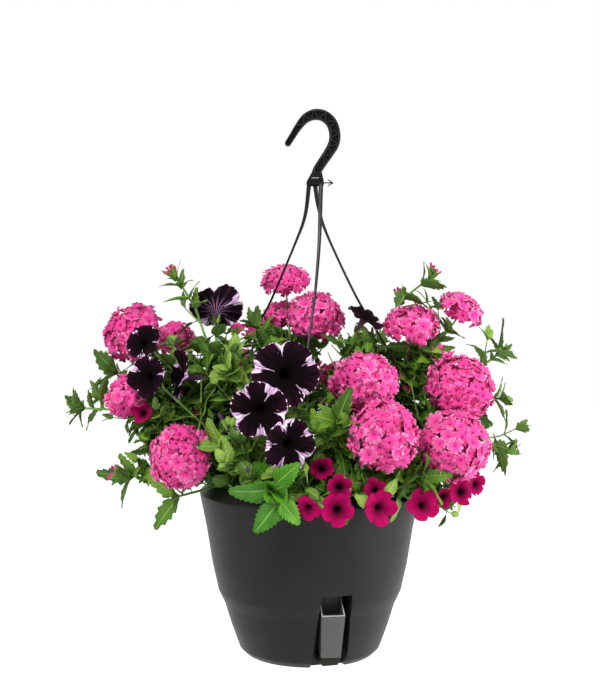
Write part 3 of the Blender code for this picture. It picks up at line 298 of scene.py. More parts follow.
def add_node(tree, kind, inputs, output=0, stops=(), **settings):
    """Add a shader node with its settings, inputs and ramp colours, and give one of its outputs."""
    made = tree.nodes.new("ShaderNode" + kind)
    for name, value in settings.items():
        setattr(made, name, value)
    set_inputs(tree, made, inputs)
    for spot, _ in stops[1:-1]:
        made.color_ramp.elements.new(spot)
    for index, (spot, code) in enumerate(stops):
        made.color_ramp.elements[index].position = spot
        made.color_ramp.elements[index].color = linear(code)
    return made.outputs[output]


def new_material(name, code, roughness, specular):
    """A material with one colour and gloss, to which a function below adds its pattern."""
    material = bpy.data.materials.new(name)
    material.use_nodes = True
    tree = material.node_tree
    shader = tree.nodes["Principled BSDF"]
    set_inputs(tree, shader, {"Base Color": linear(code), "Roughness": roughness, "Specular IOR Level": specular})
    return material, tree, shader


def moulded_polypropylene(name, code, lighter, roughness, specular):
    """Injection-moulded polypropylene with a spark-eroded skin: satin, slightly uneven in tone and gloss.

    The real grain is 0.2 mm across, and it is drawn at 1.2 mm so that it shows.
    """
    material, tree, shader = new_material(name, code, roughness, specular)
    place = add_node(tree, "TexCoord", {}, "Object")
    drift = add_node(tree, "TexNoise", {"Vector": place, "Scale": per_metre(60.0), "Detail": 2.0})
    grain = add_node(tree, "TexNoise", {"Vector": place, "Scale": per_metre(1.2), "Detail": 2.0})
    tone = add_node(tree, "MapRange", {0: drift, 1: 0.35, 2: 0.65})
    gloss = add_node(tree, "MapRange", {0: grain, 1: 0.3, 2: 0.7, 3: roughness - 0.05, 4: roughness + 0.07})
    set_inputs(tree, shader, {
        "Base Color": add_node(tree, "Mix", {0: tone, 6: linear(code), 7: linear(lighter)}, 2, data_type="RGBA"),
        "Roughness": gloss,
        "Normal": add_node(tree, "Bump", {"Height": grain, "Distance": 0.00008, "Strength": 0.35}),
    })
    return material


def peat_compost():
    """Moist peat with perlite: dark brown fibres and crumbs three millimetres across, and a few white grains."""
    material, tree, shader = new_material("peat_compost", "2E2118", 0.95, 0.1)
    place = add_node(tree, "TexCoord", {}, "Object")
    crumbs = add_node(tree, "TexNoise", {"Vector": place, "Scale": per_metre(3.0), "Detail": 5.0})
    brown = add_node(tree, "ValToRGB", {0: crumbs}, stops=((0.30, "0D0805"), (0.52, "261A12"), (0.72, "49372A")))
    grains = add_node(tree, "TexVoronoi", {"Vector": place, "Scale": per_metre(7.5)}, "Distance")
    perlite = add_node(tree, "Math", {0: grains, 1: 0.15}, operation="LESS_THAN")
    set_inputs(tree, shader, {
        "Base Color": add_node(tree, "Mix", {0: perlite, 6: brown, 7: linear("CFC9BC")}, 2, data_type="RGBA"),
        "Normal": add_node(tree, "Bump", {"Height": crumbs, "Distance": 0.0016}),
    })
    return material


def map_parts(tree):
    """A plant piece's own map as two numbers, and the tone of each leaf or floret."""
    first = add_node(tree, "SeparateXYZ", {0: add_node(tree, "UVMap", {}, uv_map="form")})
    return first, first.node.outputs[1], add_node(tree, "Attribute", {}, "Fac", attribute_name="tone")


def leaf_tissue(name, deep, middle, bright, rib, veins):
    """Living leaf: a softly quilted blade whose sunken side veins are painted darker as the shade in their grooves, a
    paler midrib, and a tone per leaf that is painted darker inside the plant as shade and brighter towards the tips.

    A verbena leaf 40 mm long has a side vein about every 5 mm.
    """
    material, tree, shader = new_material(name, middle, 0.48, 0.24)
    across, along, tone = map_parts(tree)
    place = add_node(tree, "TexCoord", {}, "Object")
    blotch = add_node(tree, "TexNoise", {"Vector": place, "Scale": per_metre(9.0), "Detail": 2.0})
    patchy = add_node(tree, "Math", {0: blotch, 1: 0.40}, operation="MULTIPLY")
    level = add_node(tree, "Math", {0: tone, 1: 0.78, 2: patchy}, operation="MULTIPLY_ADD")
    blade = add_node(tree, "ValToRGB", {0: level}, stops=((0.16, deep), (0.55, middle), (0.95, bright)))
    side = add_node(tree, "Math", {0: across, 1: 0.5}, operation="SUBTRACT")
    off_rib = add_node(tree, "Math", {0: side}, operation="ABSOLUTE")
    rows = add_node(tree, "Math", {0: along, 1: veins}, operation="MULTIPLY")
    slant = add_node(tree, "Math", {0: off_rib, 1: -0.6 * veins, 2: rows}, operation="MULTIPLY_ADD")
    quilt = add_node(tree, "Math", {0: slant, 1: 0.5}, operation="PINGPONG")
    # The side veins are mixed towards the deepest green: painted shade in their sunken grooves
    vein_groove_shade = add_node(tree, "MapRange", {0: quilt, 1: 0.0, 2: 0.16, 3: 0.45, 4: 0.0})
    midrib = add_node(tree, "MapRange", {0: off_rib, 1: 0.012, 2: 0.040, 3: 0.55, 4: 0.0})
    veined = add_node(tree, "Mix", {0: vein_groove_shade, 6: blade, 7: linear(deep)}, 2, data_type="RGBA")
    set_inputs(tree, shader, {
        "Base Color": add_node(tree, "Mix", {0: midrib, 6: veined, 7: linear(rib)}, 2, data_type="RGBA"),
        "Normal": add_node(tree, "Bump", {"Height": quilt, "Distance": 0.0010, "Strength": 0.8}),
    })
    return material


def leaf_underside():
    """The underside of a leaf: paler, duller and greyer from its down of short hairs, with a raised midrib."""
    material, tree, shader = new_material("leaf_underside", "688C48", 0.75, 0.08)
    across, _, tone = map_parts(tree)
    side = add_node(tree, "Math", {0: across, 1: 0.5}, operation="SUBTRACT")
    off_rib = add_node(tree, "Math", {0: side}, operation="ABSOLUTE")
    midrib = add_node(tree, "MapRange", {0: off_rib, 1: 0.015, 2: 0.045, 3: 0.35, 4: 0.0})
    level = add_node(tree, "Math", {0: tone, 1: 0.6, 2: midrib}, operation="MULTIPLY_ADD")
    shades = ((0.0, "34501E"), (0.5, "5C7E3A"), (0.95, "96B074"))
    set_inputs(tree, shader, {"Base Color": add_node(tree, "ValToRGB", {0: level}, stops=shades)})
    return material


def green_stem():
    """Soft herbaceous stem: matt, downy, and streaked from mid green to a pale yellow-green."""
    material, tree, shader = new_material("plant_stem", "7DA04A", 0.70, 0.10)
    place = add_node(tree, "TexCoord", {}, "Object")
    streaks = add_node(tree, "TexNoise", {"Vector": place, "Scale": per_metre(22.0), "Detail": 3.0})
    shades = ((0.30, "3F6A20"), (0.55, "6B9440"), (0.75, "98B866"))
    set_inputs(tree, shader, {
        "Base Color": add_node(tree, "ValToRGB", {0: streaks}, stops=shades),
        "Sheen Weight": 0.25, "Sheen Roughness": 0.5, "Sheen Tint": linear("E4EED0"),
    })
    return material


def verbena_petal():
    """Verbena petal: thin and matt, bright pink that pales to the rim, with a small deep eye at the tube, and a deeper
    pink between the eye and mid petal that is painted shade at the petal base.
    """
    material, tree, shader = new_material("verbena_petal", "F5529E", 0.70, 0.08)
    _, reach, tone = map_parts(tree)
    age = add_node(tree, "MapRange", {0: tone, 3: 0.58, 4: 1.10})
    level = add_node(tree, "Math", {0: reach, 1: age}, operation="MULTIPLY")
    # In the ramp, the stops up to 0.13 are the eye's own colour; the deeper pinks from there to 0.50 are painted shade
    # at the petal base
    shades = ((0.0, "6E0A3A"), (0.07, "8E1450"), (0.13, "CC3884"), (0.50, "DE4A94"), (0.75, "F264A8"), (1.0, "FF9CCA"))
    set_inputs(tree, shader, {
        "Base Color": add_node(tree, "ValToRGB", {0: level}, stops=shades),
        "Subsurface Weight": 0.10,
        "Subsurface Radius": (0.004, 0.0015, 0.002),
    })
    return material


def pale_wedges(tree, turn, reach, strength):
    """The pale wedges between a dark petunia's lobes: their feathering, where they are, and their colour.

    The pleats that feather them are about 4 mm apart at the rim, so 50 go round a bloom.
    """
    lobes = add_node(tree, "Math", {0: turn, 1: float(LOBES)}, operation="MULTIPLY")
    from_gap = add_node(tree, "Math", {0: lobes, 1: 0.5}, operation="PINGPONG")
    round_rim = add_node(tree, "Math", {0: turn, 1: 50.0}, operation="MULTIPLY")
    outward = add_node(tree, "Math", {0: reach, 1: 1.8}, operation="MULTIPLY")
    spokes = add_node(tree, "CombineXYZ", {0: round_rim, 1: outward})
    feather = add_node(tree, "TexNoise", {"Vector": spokes, "Scale": 1.0, "Detail": 2.0})
    frayed = add_node(tree, "Math", {0: feather, 1: 0.52, 2: from_gap}, operation="MULTIPLY_ADD")
    opening = add_node(tree, "Math", {0: reach, 1: 0.54, 2: -0.13}, operation="MULTIPLY_ADD")
    edge = add_node(tree, "Math", {0: opening, 1: strength, 2: 0.13}, operation="MULTIPLY_ADD")
    wedge = add_node(tree, "Math", {0: frayed, 1: edge}, operation="LESS_THAN")
    teeth = add_node(tree, "Math", {0: feather, 1: -0.26, 2: 1.185}, operation="MULTIPLY_ADD")
    rim_start = add_node(tree, "Math", {0: strength, 1: -0.06, 2: teeth}, operation="MULTIPLY_ADD")
    fringe = add_node(tree, "Math", {0: reach, 1: rim_start}, operation="GREATER_THAN")
    pale_part = add_node(tree, "Math", {0: wedge, 1: fringe}, operation="MAXIMUM")
    lilacs = ((0.28, "E6D8E8"), (0.44, "B48CB4"), (0.50, "8A5A88"), (0.56, "C4A0C4"), (0.64, "F0E4F0"))
    return feather, pale_part, add_node(tree, "ValToRGB", {0: feather}, stops=lilacs)


def star_petal():
    """Petunia petal: near-black matt velvet, with pale feathered wedges and a fine pale fringe."""
    material, tree, shader = new_material("star_petal", "0B0307", 0.80, 0.05)
    turn, reach, strength = map_parts(tree)
    feather, pale_part, pale = pale_wedges(tree, turn, reach, strength)
    veined = add_node(tree, "Math", {0: reach, 1: feather}, operation="MULTIPLY")
    dark = add_node(tree, "ValToRGB", {0: veined}, stops=((0.0, "020101"), (0.30, "0A0206"), (0.70, "2A0A1C")))
    set_inputs(tree, shader, {
        "Base Color": add_node(tree, "Mix", {0: pale_part, 6: dark, 7: pale}, 2, data_type="RGBA"),
        "Sheen Weight": 0.04, "Sheen Roughness": 0.4, "Sheen Tint": linear("8A3A70"),
    })
    return material


def ribbed_tube():
    """The outside of a petunia: a downy tube striped dark purple on lilac, and a dusky maroon flare."""
    material, tree, shader = new_material("ribbed_tube", "4A3048", 0.75, 0.06)
    turn, reach, strength = map_parts(tree)
    _, pale_part, pale = pale_wedges(tree, turn, reach, strength)
    stripes = add_node(tree, "Math", {0: turn, 1: 15.0}, operation="MULTIPLY")
    stripe = add_node(tree, "Math", {0: stripes, 1: 0.5}, operation="PINGPONG")
    striped = add_node(tree, "ValToRGB", {0: stripe}, stops=((0.12, "14060F"), (0.30, "4A2A46"), (0.50, "8A6A88")))
    flare = add_node(tree, "ValToRGB", {0: stripe}, stops=((0.0, "12060E"), (0.40, "200D1A"), (0.50, "38203A")))
    on_flare = add_node(tree, "MapRange", {0: reach, 1: 0.25, 2: 0.60})
    outside = add_node(tree, "Mix", {0: on_flare, 6: striped, 7: flare}, 2, data_type="RGBA")
    set_inputs(tree, shader, {
        "Base Color": add_node(tree, "Mix", {0: pale_part, 6: outside, 7: pale}, 2, data_type="RGBA")})
    return material


def magenta_petal():
    """Small petunia petal: deep magenta velvet with darker veins that run into a near-black throat."""
    material, tree, shader = new_material("magenta_petal", "8A0448", 0.80, 0.05)
    turn, reach, tone = map_parts(tree)
    spokes = add_node(tree, "Math", {0: turn, 1: 20.0}, operation="MULTIPLY")
    vein = add_node(tree, "Math", {0: spokes, 1: 0.5}, operation="PINGPONG")
    veined = add_node(tree, "Math", {0: vein, 1: 0.30, 2: reach}, operation="MULTIPLY_ADD")
    level = add_node(tree, "Math", {0: tone, 1: 0.16, 2: veined}, operation="MULTIPLY_ADD")
    shades = ((0.14, "0A0004"), (0.40, "340016"), (0.68, "720236"), (1.0, "98044B"))
    set_inputs(tree, shader, {"Base Color": add_node(tree, "ValToRGB", {0: level}, stops=shades)})
    return material


MATERIALS = {
    "pot": moulded_polypropylene("moulded_pot_polypropylene", "171615", "1B1A19", 0.42, 0.17),
    "hanger": moulded_polypropylene("moulded_hanger_polypropylene", "0C0D0E", "111214", 0.34, 0.26),
    # Darker and rougher than the hanger: on the web between the hook's ribs and on the tip's disc this is painted shade
    # in the pockets; the hub and its shoulder take it too
    "hanger_web_shade_and_hub": moulded_polypropylene("hanger_polypropylene_web_shade_and_hub", "090A0A", "0D0E0E", 0.60, 0.12),
    "spout": moulded_polypropylene("moulded_spout_polypropylene", "434343", "494949", 0.38, 0.28),
    # Light grey and glossy: a painted highlight, on the spout's rim bead and on the hub's small rib
    "spout_painted_highlight": moulded_polypropylene("painted_highlight_spout_rim", "9C9C9C", "A6A6A6", 0.25, 0.50),
    # Darker and more olive than the pot: painted shade under the spout
    "plug": moulded_polypropylene("plug_polypropylene_painted_shade", "11120E", "17180F", 0.60, 0.20),
    "insert": moulded_polypropylene("moulded_insert_polypropylene", "121315", "191A1C", 0.50, 0.25),
    "soil": peat_compost(),
    "leaf": leaf_tissue("verbena_leaf", "1C3208", "466E14", "78A030", "90AE58", 8.0),
    "petunia_leaf": leaf_tissue("petunia_leaf", "22380A", "567C20", "8EAE4A", "A8C07C", 6.0),
    "bright_leaf": leaf_tissue("sprig_leaf", "265410", "468418", "6EA830", "94BC60", 9.0),
    "underside": leaf_underside(),
    "stem": green_stem(),
    "verbena": verbena_petal(),
    "star": star_petal(),
    "tube": ribbed_tube(),
    "magenta": magenta_petal(),
}


# Shapes

def start_piece():
    """An empty mesh with the layers that every plant piece keeps: its map and its tone."""
    shape = bmesh.new()
    shape.loops.layers.uv.new("form")
    shape.verts.layers.float.new("tone")
    return shape


def finish_piece(name, shape, materials, nodes, smooth_angle=None):
    """Make a finished piece: on its body, in place of its CAD nodes."""
    mesh = bpy.data.meshes.new(name)
    shape.to_mesh(mesh)
    shape.free()
    for material in materials:
        mesh.materials.append(material)
    mesh.shade_smooth()
    if smooth_angle:
        mesh.set_sharp_from_angle(angle=math.radians(smooth_angle))
    piece = bpy.data.objects.new(name, mesh)
    bpy.context.scene.collection.objects.link(piece)
    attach(piece, "root")
    if nodes:
        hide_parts(*nodes)
    return piece


def as_template(shape):
    """Keep a shape as a mesh from which copies are placed."""
    mesh = bpy.data.meshes.new("template")
    shape.to_mesh(mesh)
    shape.free()
    return mesh


def join(target, shape):
    """Join a finished shape to a piece."""
    shape.to_mesh(SCRATCH)
    shape.free()
    target.from_mesh(SCRATCH)


def place(target, template, matrix, tone=0.5, arch=0.0, twist=0.0):
    """Join a copy of a template to a piece, twisted and arched along its length, with a tone of its own."""
    copy = bmesh.new()
    copy.from_mesh(template)
    layer = copy.verts.layers.float["tone"]
    for vert in copy.verts:
        vert[layer] = tone
        turn = twist * vert.co.y
        x, z = vert.co.x, vert.co.z
        vert.co.x = x * math.cos(turn) - z * math.sin(turn)
        vert.co.z = x * math.sin(turn) + z * math.cos(turn) - arch * vert.co.y ** 2
    bmesh.ops.transform(copy, matrix=matrix, verts=copy.verts[:])
    join(target, copy)


def write_map(shape, spot):
    """Write the map of a shape from each vertex's place."""
    layer = shape.loops.layers.uv["form"]
    for face in shape.faces:
        for loop in face.loops:
            loop[layer].uv = spot(loop.vert.co)


def facing_frame(spot, facing, roll=0.0):
    """A frame whose Z axis looks the way a bloom faces."""
    turn = Vector(facing).normalized().to_track_quat("Z", "Y").to_matrix().to_4x4()
    return Matrix.Translation(spot) @ turn @ Matrix.Rotation(roll, 4, "Z")


def dome_directions(count, reach):
    """Directions spread evenly over a dome, as on a sunflower."""
    spread = []
    for index in range(count):
        rise = 1.0 - (index + 0.5) / count * (1.0 - math.cos(reach))
        flat = math.sqrt(1.0 - rise * rise)
        angle = index * GOLDEN_ANGLE
        spread.append(Vector((flat * math.cos(angle), flat * math.sin(angle), rise)))
    return spread


def fit_to_solid(shape, node):
    """Shift a bloom so that its box has the same middle as the solid's."""
    low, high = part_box(node)
    middle = [(min(v.co[i] for v in shape.verts) + max(v.co[i] for v in shape.verts)) / 2 for i in range(3)]
    shift = (low + high) / 2 - Vector(middle)
    bmesh.ops.translate(shape, verts=shape.verts[:], vec=shift)
    return shift


def smooth_route(points, pieces):
    """Points on a smooth curve through the given ones, with the same number of pieces between each two."""
    ends = [2 * points[0] - points[1]] + points + [2 * points[-1] - points[-2]]
    route = [points[0].copy()]
    for before, start, stop, after in zip(ends, ends[1:], ends[2:], ends[3:]):
        for step in range(1, pieces + 1):
            share = step / pieces
            route.append(0.5 * (2 * start + (stop - before) * share
                                + (2 * before - 5 * start + 4 * stop - after) * share ** 2
                                + (3 * start - before - 3 * stop + after) * share ** 3))
    return route


def heading(points, index):
    """Direction of a line of points at one of them."""
    return (points[min(index + 1, len(points) - 1)] - points[max(index - 1, 0)]).normalized()


def route_frames(route, radii):
    """A frame at each point of a route, its Z axis along the route and its scale the radius there."""
    frames = []
    turn = None
    for index, point in enumerate(route):
        ahead = heading(route, index)
        if turn is None:
            turn = Vector((0, 0, 1)).rotation_difference(ahead)
        else:
            turn = (turn @ Vector((0, 0, 1))).rotation_difference(ahead) @ turn
        frames.append(Matrix.LocRotScale(point, turn, Vector((radii[index],) * 3)))
    return frames


def tapered(first, last, count):
    """Radii in even steps from the first to the last."""
    return [first + (last - first) * index / (count - 1) for index in range(count)]


def sweep(target, outline, frames, material=0):
    """Extrude an outline from frame to frame into a closed body, and join it to a piece."""
    body = start_piece()
    face = body.faces.new([body.verts.new(frames[0] @ Vector((x, y, 0.0))) for x, y in outline])
    for index, (old, new) in enumerate(zip(frames, frames[1:])):
        grown = bmesh.ops.extrude_face_region(body, geom=[face])
        if index:
            bmesh.ops.delete(body, geom=[face], context="FACES_ONLY")
        verts = [item for item in grown["geom"] if isinstance(item, bmesh.types.BMVert)]
        face = [item for item in grown["geom"] if isinstance(item, bmesh.types.BMFace)][0]
        bmesh.ops.transform(body, matrix=new @ old.inverted(), verts=verts)
    bmesh.ops.recalc_face_normals(body, faces=body.faces[:])
    for face in body.faces:
        face.material_index = material
    join(target, body)


def ring_outline(sides):
    """Corners of an even outline with a radius of one."""
    return [(math.cos(math.tau * side / sides), math.sin(math.tau * side / sides)) for side in range(sides)]


def tube(target, route, radii, sides=6, material=0):
    """A round stem, strand or pedicel along a route."""
    sweep(target, ring_outline(sides), route_frames(route, radii), material)


def turned(profile, steps):
    """Spin a profile of (radius, height) points round the Z axis into a closed body."""
    shape = bmesh.new()
    corners = [shape.verts.new((radius, 0.0, height)) for radius, height in profile]
    edges = [shape.edges.new(pair) for pair in zip(corners, corners[1:])]
    bmesh.ops.spin(shape, geom=corners + edges, cent=(0, 0, 0), axis=(0, 0, 1),
                   angle=math.tau, steps=steps, use_merge=True)
    bmesh.ops.remove_doubles(shape, verts=shape.verts[:], dist=1e-6)
    bmesh.ops.recalc_face_normals(shape, faces=shape.faces[:])
    return shape


# Pot, spout, insert, hanger and soil

def rounded(profile, reach, pieces=3):
    """A profile with each corner rounded by a short curve that stays within its reach."""
    points = [Vector(profile[0])]
    for before, corner, after in zip(profile, profile[1:], profile[2:]):
        corner = Vector(corner)
        back, ahead = Vector(before) - corner, Vector(after) - corner
        size = min(reach, back.length * 0.45, ahead.length * 0.45)
        start, stop = corner + back.normalized() * size, corner + ahead.normalized() * size
        for step in range(pieces + 1):
            share = step / pieces
            points.append(start * (1 - share) ** 2 + corner * 2 * share * (1 - share) + stop * share ** 2)
    return points + [Vector(profile[-1])]


def block(corners, azimuth=0.0):
    """A closed body with flat sides round the given corners, turned about the pot's axis."""
    shape = bmesh.new()
    bmesh.ops.convex_hull(shape, input=[shape.verts.new(corner) for corner in corners])
    bmesh.ops.dissolve_limit(shape, angle_limit=math.radians(0.5), verts=shape.verts[:], edges=shape.edges[:])
    bmesh.ops.rotate(shape, verts=shape.verts[:], cent=(0, 0, 0), matrix=Matrix.Rotation(azimuth, 3, "Z"))
    bmesh.ops.recalc_face_normals(shape, faces=shape.faces[:])
    return shape


def wedge(low, high, front, back, half_widths, azimuth=0.0):
    """A block between two heights; front, back and half width are given at each height."""
    corners = []
    for height, reach, rear, half in zip((low, high), front, back, half_widths):
        for side in (-half, half):
            corners += [Vector((side, -reach, height)), Vector((side, -rear, height))]
    return block(corners, azimuth)


def along(pair, height, top):
    """A value between two, by height from the base to the top."""
    return pair[0] + (pair[1] - pair[0]) * height / top


def recess_shape(growth):
    """The recess's wedge, grown on every side by the same amount."""
    low, high = -0.006, RECESS_TOP + growth
    halves = [along(RECESS_HALF_WIDTH, height, RECESS_TOP) + growth for height in (low, high)]
    backs = [along(RECESS_BACK, height, RECESS_TOP) - growth for height in (low, high)]
    return wedge(low, high, (0.150, 0.150), backs, halves, RECESS_AZIMUTH)


def ring_place(radius, azimuth, height=0.0):
    """A point at a radius and azimuth, where azimuth 0 is the front."""
    return Vector((radius * math.sin(azimuth), -radius * math.cos(azimuth), height))


def combine(body, tool, operation):
    """Cut a closed shape out of another, or join it on, and give the new shape."""
    things = []
    for part in (body, tool):
        mesh = bpy.data.meshes.new("part")
        part.to_mesh(mesh)
        part.free()
        things.append(bpy.data.objects.new("part", mesh))
        bpy.context.scene.collection.objects.link(things[-1])
    change = things[0].modifiers.new("change", "BOOLEAN")
    change.operation = operation
    change.solver = "EXACT"
    change.object = things[1]
    made = things[0].evaluated_get(bpy.context.evaluated_depsgraph_get())
    shape = bmesh.new()
    shape.from_mesh(made.to_mesh())
    made.to_mesh_clear()
    for thing in things:
        mesh = thing.data
        bpy.data.objects.remove(thing)
        bpy.data.meshes.remove(mesh)
    return shape


def soften(shape, offset, segments=2, least_angle=35.0, where=None):
    """Bevel the sharp edges of a shape, or those at the given places."""
    bmesh.ops.dissolve_limit(shape, angle_limit=math.radians(0.2), verts=shape.verts[:], edges=shape.edges[:])
    edges = [edge for edge in shape.edges if edge.calc_face_angle(0) > math.radians(least_angle)
             and (where is None or all(where(vert.co) for vert in edge.verts))]
    bmesh.ops.bevel(shape, geom=edges, offset=offset, segments=segments, profile=0.5,
                    affect="EDGES", material=-1, clamp_overlap=True)
    return shape


def inner_profile():
    """The inside of the pot's wall, from the floor up to the lip."""
    points = [(0.0, POT_FLOOR), (POT_OUTSIDE[1][0] - POT_WALL, POT_FLOOR)]
    points += [(radius - POT_WALL, height + 0.0004) for radius, height in POT_OUTSIDE[2:9]]
    return points + [(RIM_RADIUS - POT_WALL, RIM_HEIGHT - 0.0022), (LIP_INNER_RADIUS, POT_OUTSIDE[-2][1] - 0.0024)]


def inner_radius(height):
    """Radius of the pot's inside at a height."""
    points = inner_profile()[1:]
    for (low_radius, low), (high_radius, high) in zip(points, points[1:]):
        if low <= height <= high:
            return low_radius + (high_radius - low_radius) * (height - low) / (high - low)
    return points[0][0]


def near_recess(spot):
    """Whether a point lies on the edges of the recess."""
    turned_back = Matrix.Rotation(-RECESS_AZIMUTH, 3, "Z") @ spot
    return turned_back.y < -0.055 and abs(turned_back.x) < 0.0235 and turned_back.z < RECESS_TOP + 0.001


def make_pot():
    """The pot: a turned wall and floor, the housing of the recess, and a lug for each strand."""
    top = POT_OUTSIDE[-1][1]
    outside = turned(rounded([(0.0, 0.0)] + list(POT_OUTSIDE) + [(0.0, top)], 0.0012), POT_STEPS)
    inside = inner_profile() + [(LIP_INNER_RADIUS, top + 0.010), (0.0, top + 0.010)]
    cavity = combine(turned(inside, POT_STEPS), recess_shape(HOUSING_WALL), "DIFFERENCE")
    pot = combine(outside, cavity, "DIFFERENCE")
    pot = combine(pot, recess_shape(0.0), "DIFFERENCE")
    low, high = WINDOW_HEIGHTS
    window = wedge(low, high, (0.075, 0.075), (0.045, 0.045), (WINDOW_HALF_WIDTH,) * 2, RECESS_AZIMUTH)
    pot = combine(pot, window, "DIFFERENCE")
    for azimuth in STRAND_AZIMUTHS.values():
        low, high = LUG_HEIGHTS
        wall = inner_radius(low) + 0.0012
        lug = wedge(low, high, (wall, wall), (LUG_RADIUS - 0.0045,) * 2, (LUG_HALF_WIDTH,) * 2, azimuth)
        hole = bmesh.new()
        bmesh.ops.create_cone(hole, cap_ends=True, segments=24, radius1=LUG_HOLE, radius2=LUG_HOLE, depth=0.012,
                              matrix=Matrix.Translation(ring_place(LUG_RADIUS, azimuth, low)))
        pot = combine(pot, lug, "UNION")
        pot = combine(pot, hole, "DIFFERENCE")
    soften(pot, 0.0006, where=near_recess)
    finish_piece("pot_body", pot, (MATERIALS["pot"],), ["pot_shell"], 28.0)


def make_insert():
    """The false floor over the water: a plate with a wick cup, a rim, legs and air holes."""
    low = INSERT_TOP - INSERT_THICKNESS
    wall = INSERT_THICKNESS
    profile = [
        (0.0, WICK_BOTTOM), (WICK_RADIUS[0] + wall, WICK_BOTTOM), (WICK_RADIUS[1] + wall, low),
        (INSERT_RADIUS, low), (INSERT_RADIUS + 0.0008, INSERT_TOP), (WICK_RADIUS[1], INSERT_TOP),
        (WICK_RADIUS[0], WICK_BOTTOM + wall), (0.0, WICK_BOTTOM + wall),
    ]
    insert = turned(rounded(profile, 0.0006), 96)
    for index in range(4):
        azimuth = RECESS_AZIMUTH + math.tau * (index + 0.5) / 4
        leg = wedge(POT_FLOOR + GAP, low + 0.0008, (0.059, 0.059), (0.053, 0.053), (0.003, 0.003), azimuth)
        insert = combine(insert, leg, "UNION")
    for index in range(3):
        azimuth = RECESS_AZIMUTH + math.tau * (index + 0.5) / 3
        hole = bmesh.new()
        bmesh.ops.create_cone(hole, cap_ends=True, segments=20, radius1=0.0022, radius2=0.0022, depth=0.012,
                              matrix=Matrix.Translation(ring_place(0.040, azimuth, INSERT_TOP)))
        insert = combine(insert, hole, "DIFFERENCE")
    insert = combine(insert, recess_shape(HOUSING_WALL + 0.0006), "DIFFERENCE")
    finish_piece("insert_moulding", insert, (MATERIALS["insert"],), ["reservoir_insert"], 30.0)


def turn_spout(spot):
    """Turn a point of the spout about its upright axis, so that its front looks almost straight ahead."""
    pivot = Vector((0.0, -SPOUT_PIVOT, 0.0))
    return pivot + Matrix.Rotation(SPOUT_TURN, 3, "Z") @ (spot - pivot)


def mouth_corners(inset):
    """The corners of the spout's sloping mouth, from the back left round the front to the back right."""
    back = along(RECESS_BACK, SPOUT_BACK_HEIGHT, RECESS_TOP) + SPOUT_HALF_WIDTH[1] * abs(SPOUT_TURN) + 2 * GAP
    half = SPOUT_HALF_WIDTH[1] - inset
    rear, lip = back + inset, SPOUT_LIP_REACH - inset
    return [turn_spout(Vector(corner)) for corner in (
        (-half, -rear, SPOUT_BACK_HEIGHT), (-half, -lip, SPOUT_LIP_HEIGHT),
        (half, -lip, SPOUT_LIP_HEIGHT), (half, -rear, SPOUT_BACK_HEIGHT))]


def chute(inset, lift, rise):
    """The spout's wedge between its foot and its sloping mouth, drawn in by an inset."""
    low = SPOUT_BOTTOM + lift
    rear = along(RECESS_BACK, low, RECESS_TOP) + SPOUT_HALF_WIDTH[0] * abs(SPOUT_TURN) + 2 * GAP + inset
    half, front = SPOUT_HALF_WIDTH[0] - inset, SPOUT_FOOT_REACH - inset
    foot = [turn_spout(Vector((side, reach, low))) for side in (-half, half) for reach in (-front, -rear)]
    return block(foot + [corner + Vector((0, 0, rise)) for corner in mouth_corners(inset)], RECESS_AZIMUTH)


def make_spout():
    """The filler spout: an open chute with a nose that passes through the window into the water space."""
    low, high = WINDOW_HEIGHTS
    half = WINDOW_HALF_WIDTH - 0.0005
    nose = wedge(low + 0.0005, high - 0.0005, (0.076, 0.076), (0.0555, 0.0555), (half, half), RECESS_AZIMUTH)
    spout = combine(chute(0.0, 0.0, 0.0), nose, "UNION")
    spout = combine(spout, chute(SPOUT_WALL, 0.0035, 0.004), "DIFFERENCE")
    half -= SPOUT_WALL
    outlet = wedge(low + 0.0020, high - 0.0020, (0.080, 0.080), (0.050, 0.050), (half, half), RECESS_AZIMUTH)
    shape = start_piece()
    join(shape, soften(combine(spout, outlet, "DIFFERENCE"), 0.0005, 3))
    # The bead along the mouth's edges and round its front corners is light grey: a painted highlight on the rim
    corners = [Matrix.Rotation(RECESS_AZIMUTH, 3, "Z") @ corner for corner in mouth_corners(SPOUT_WALL / 2)]
    for start, stop in zip(corners, corners[1:]):
        tube(shape, [start, stop], (SPOUT_BEAD, SPOUT_BEAD), 12, 1)
    for corner in corners[1:3]:
        bmesh.ops.create_icosphere(shape, subdivisions=2, radius=SPOUT_BEAD, matrix=Matrix.Translation(corner))
    for face in shape.faces:
        if all((vert.co - corners[1]).length < 1.1 * SPOUT_BEAD for vert in face.verts):
            face.material_index = 1
        if all((vert.co - corners[2]).length < 1.1 * SPOUT_BEAD for vert in face.verts):
            face.material_index = 1
    finish_piece("filler_spout_moulding", shape, (MATERIALS["spout"], MATERIALS["spout_painted_highlight"]),
                 ["filler_spout"], 30.0)


def make_plug():
    """The block that closes the recess below the spout, in the pot's dark plastic painted darker and more olive as the
    shade under the spout.
    """
    low, high = PLUG_HEIGHTS
    backs = [along(RECESS_BACK, height, RECESS_TOP) + GAP + 0.0001 for height in (low, high)]
    plug = wedge(low, high, (PLUG_REACH - 0.0020, PLUG_REACH), backs, (0.0098, 0.0112), RECESS_AZIMUTH)
    soften(plug, 0.0009, 3)
    finish_piece("overflow_plug_block", plug, (MATERIALS["plug"],), ["overflow_plug"], 30.0)


def soil_height(spot):
    """Height of the soil's surface at a place."""
    radius = math.hypot(spot[0], spot[1])
    for (far, low), (near, high) in zip(SOIL_SURFACE, SOIL_SURFACE[1:]):
        if radius >= near:
            return high + (low - high) * (radius - near) / (far - near)
    return SOIL_SURFACE[-1][1]


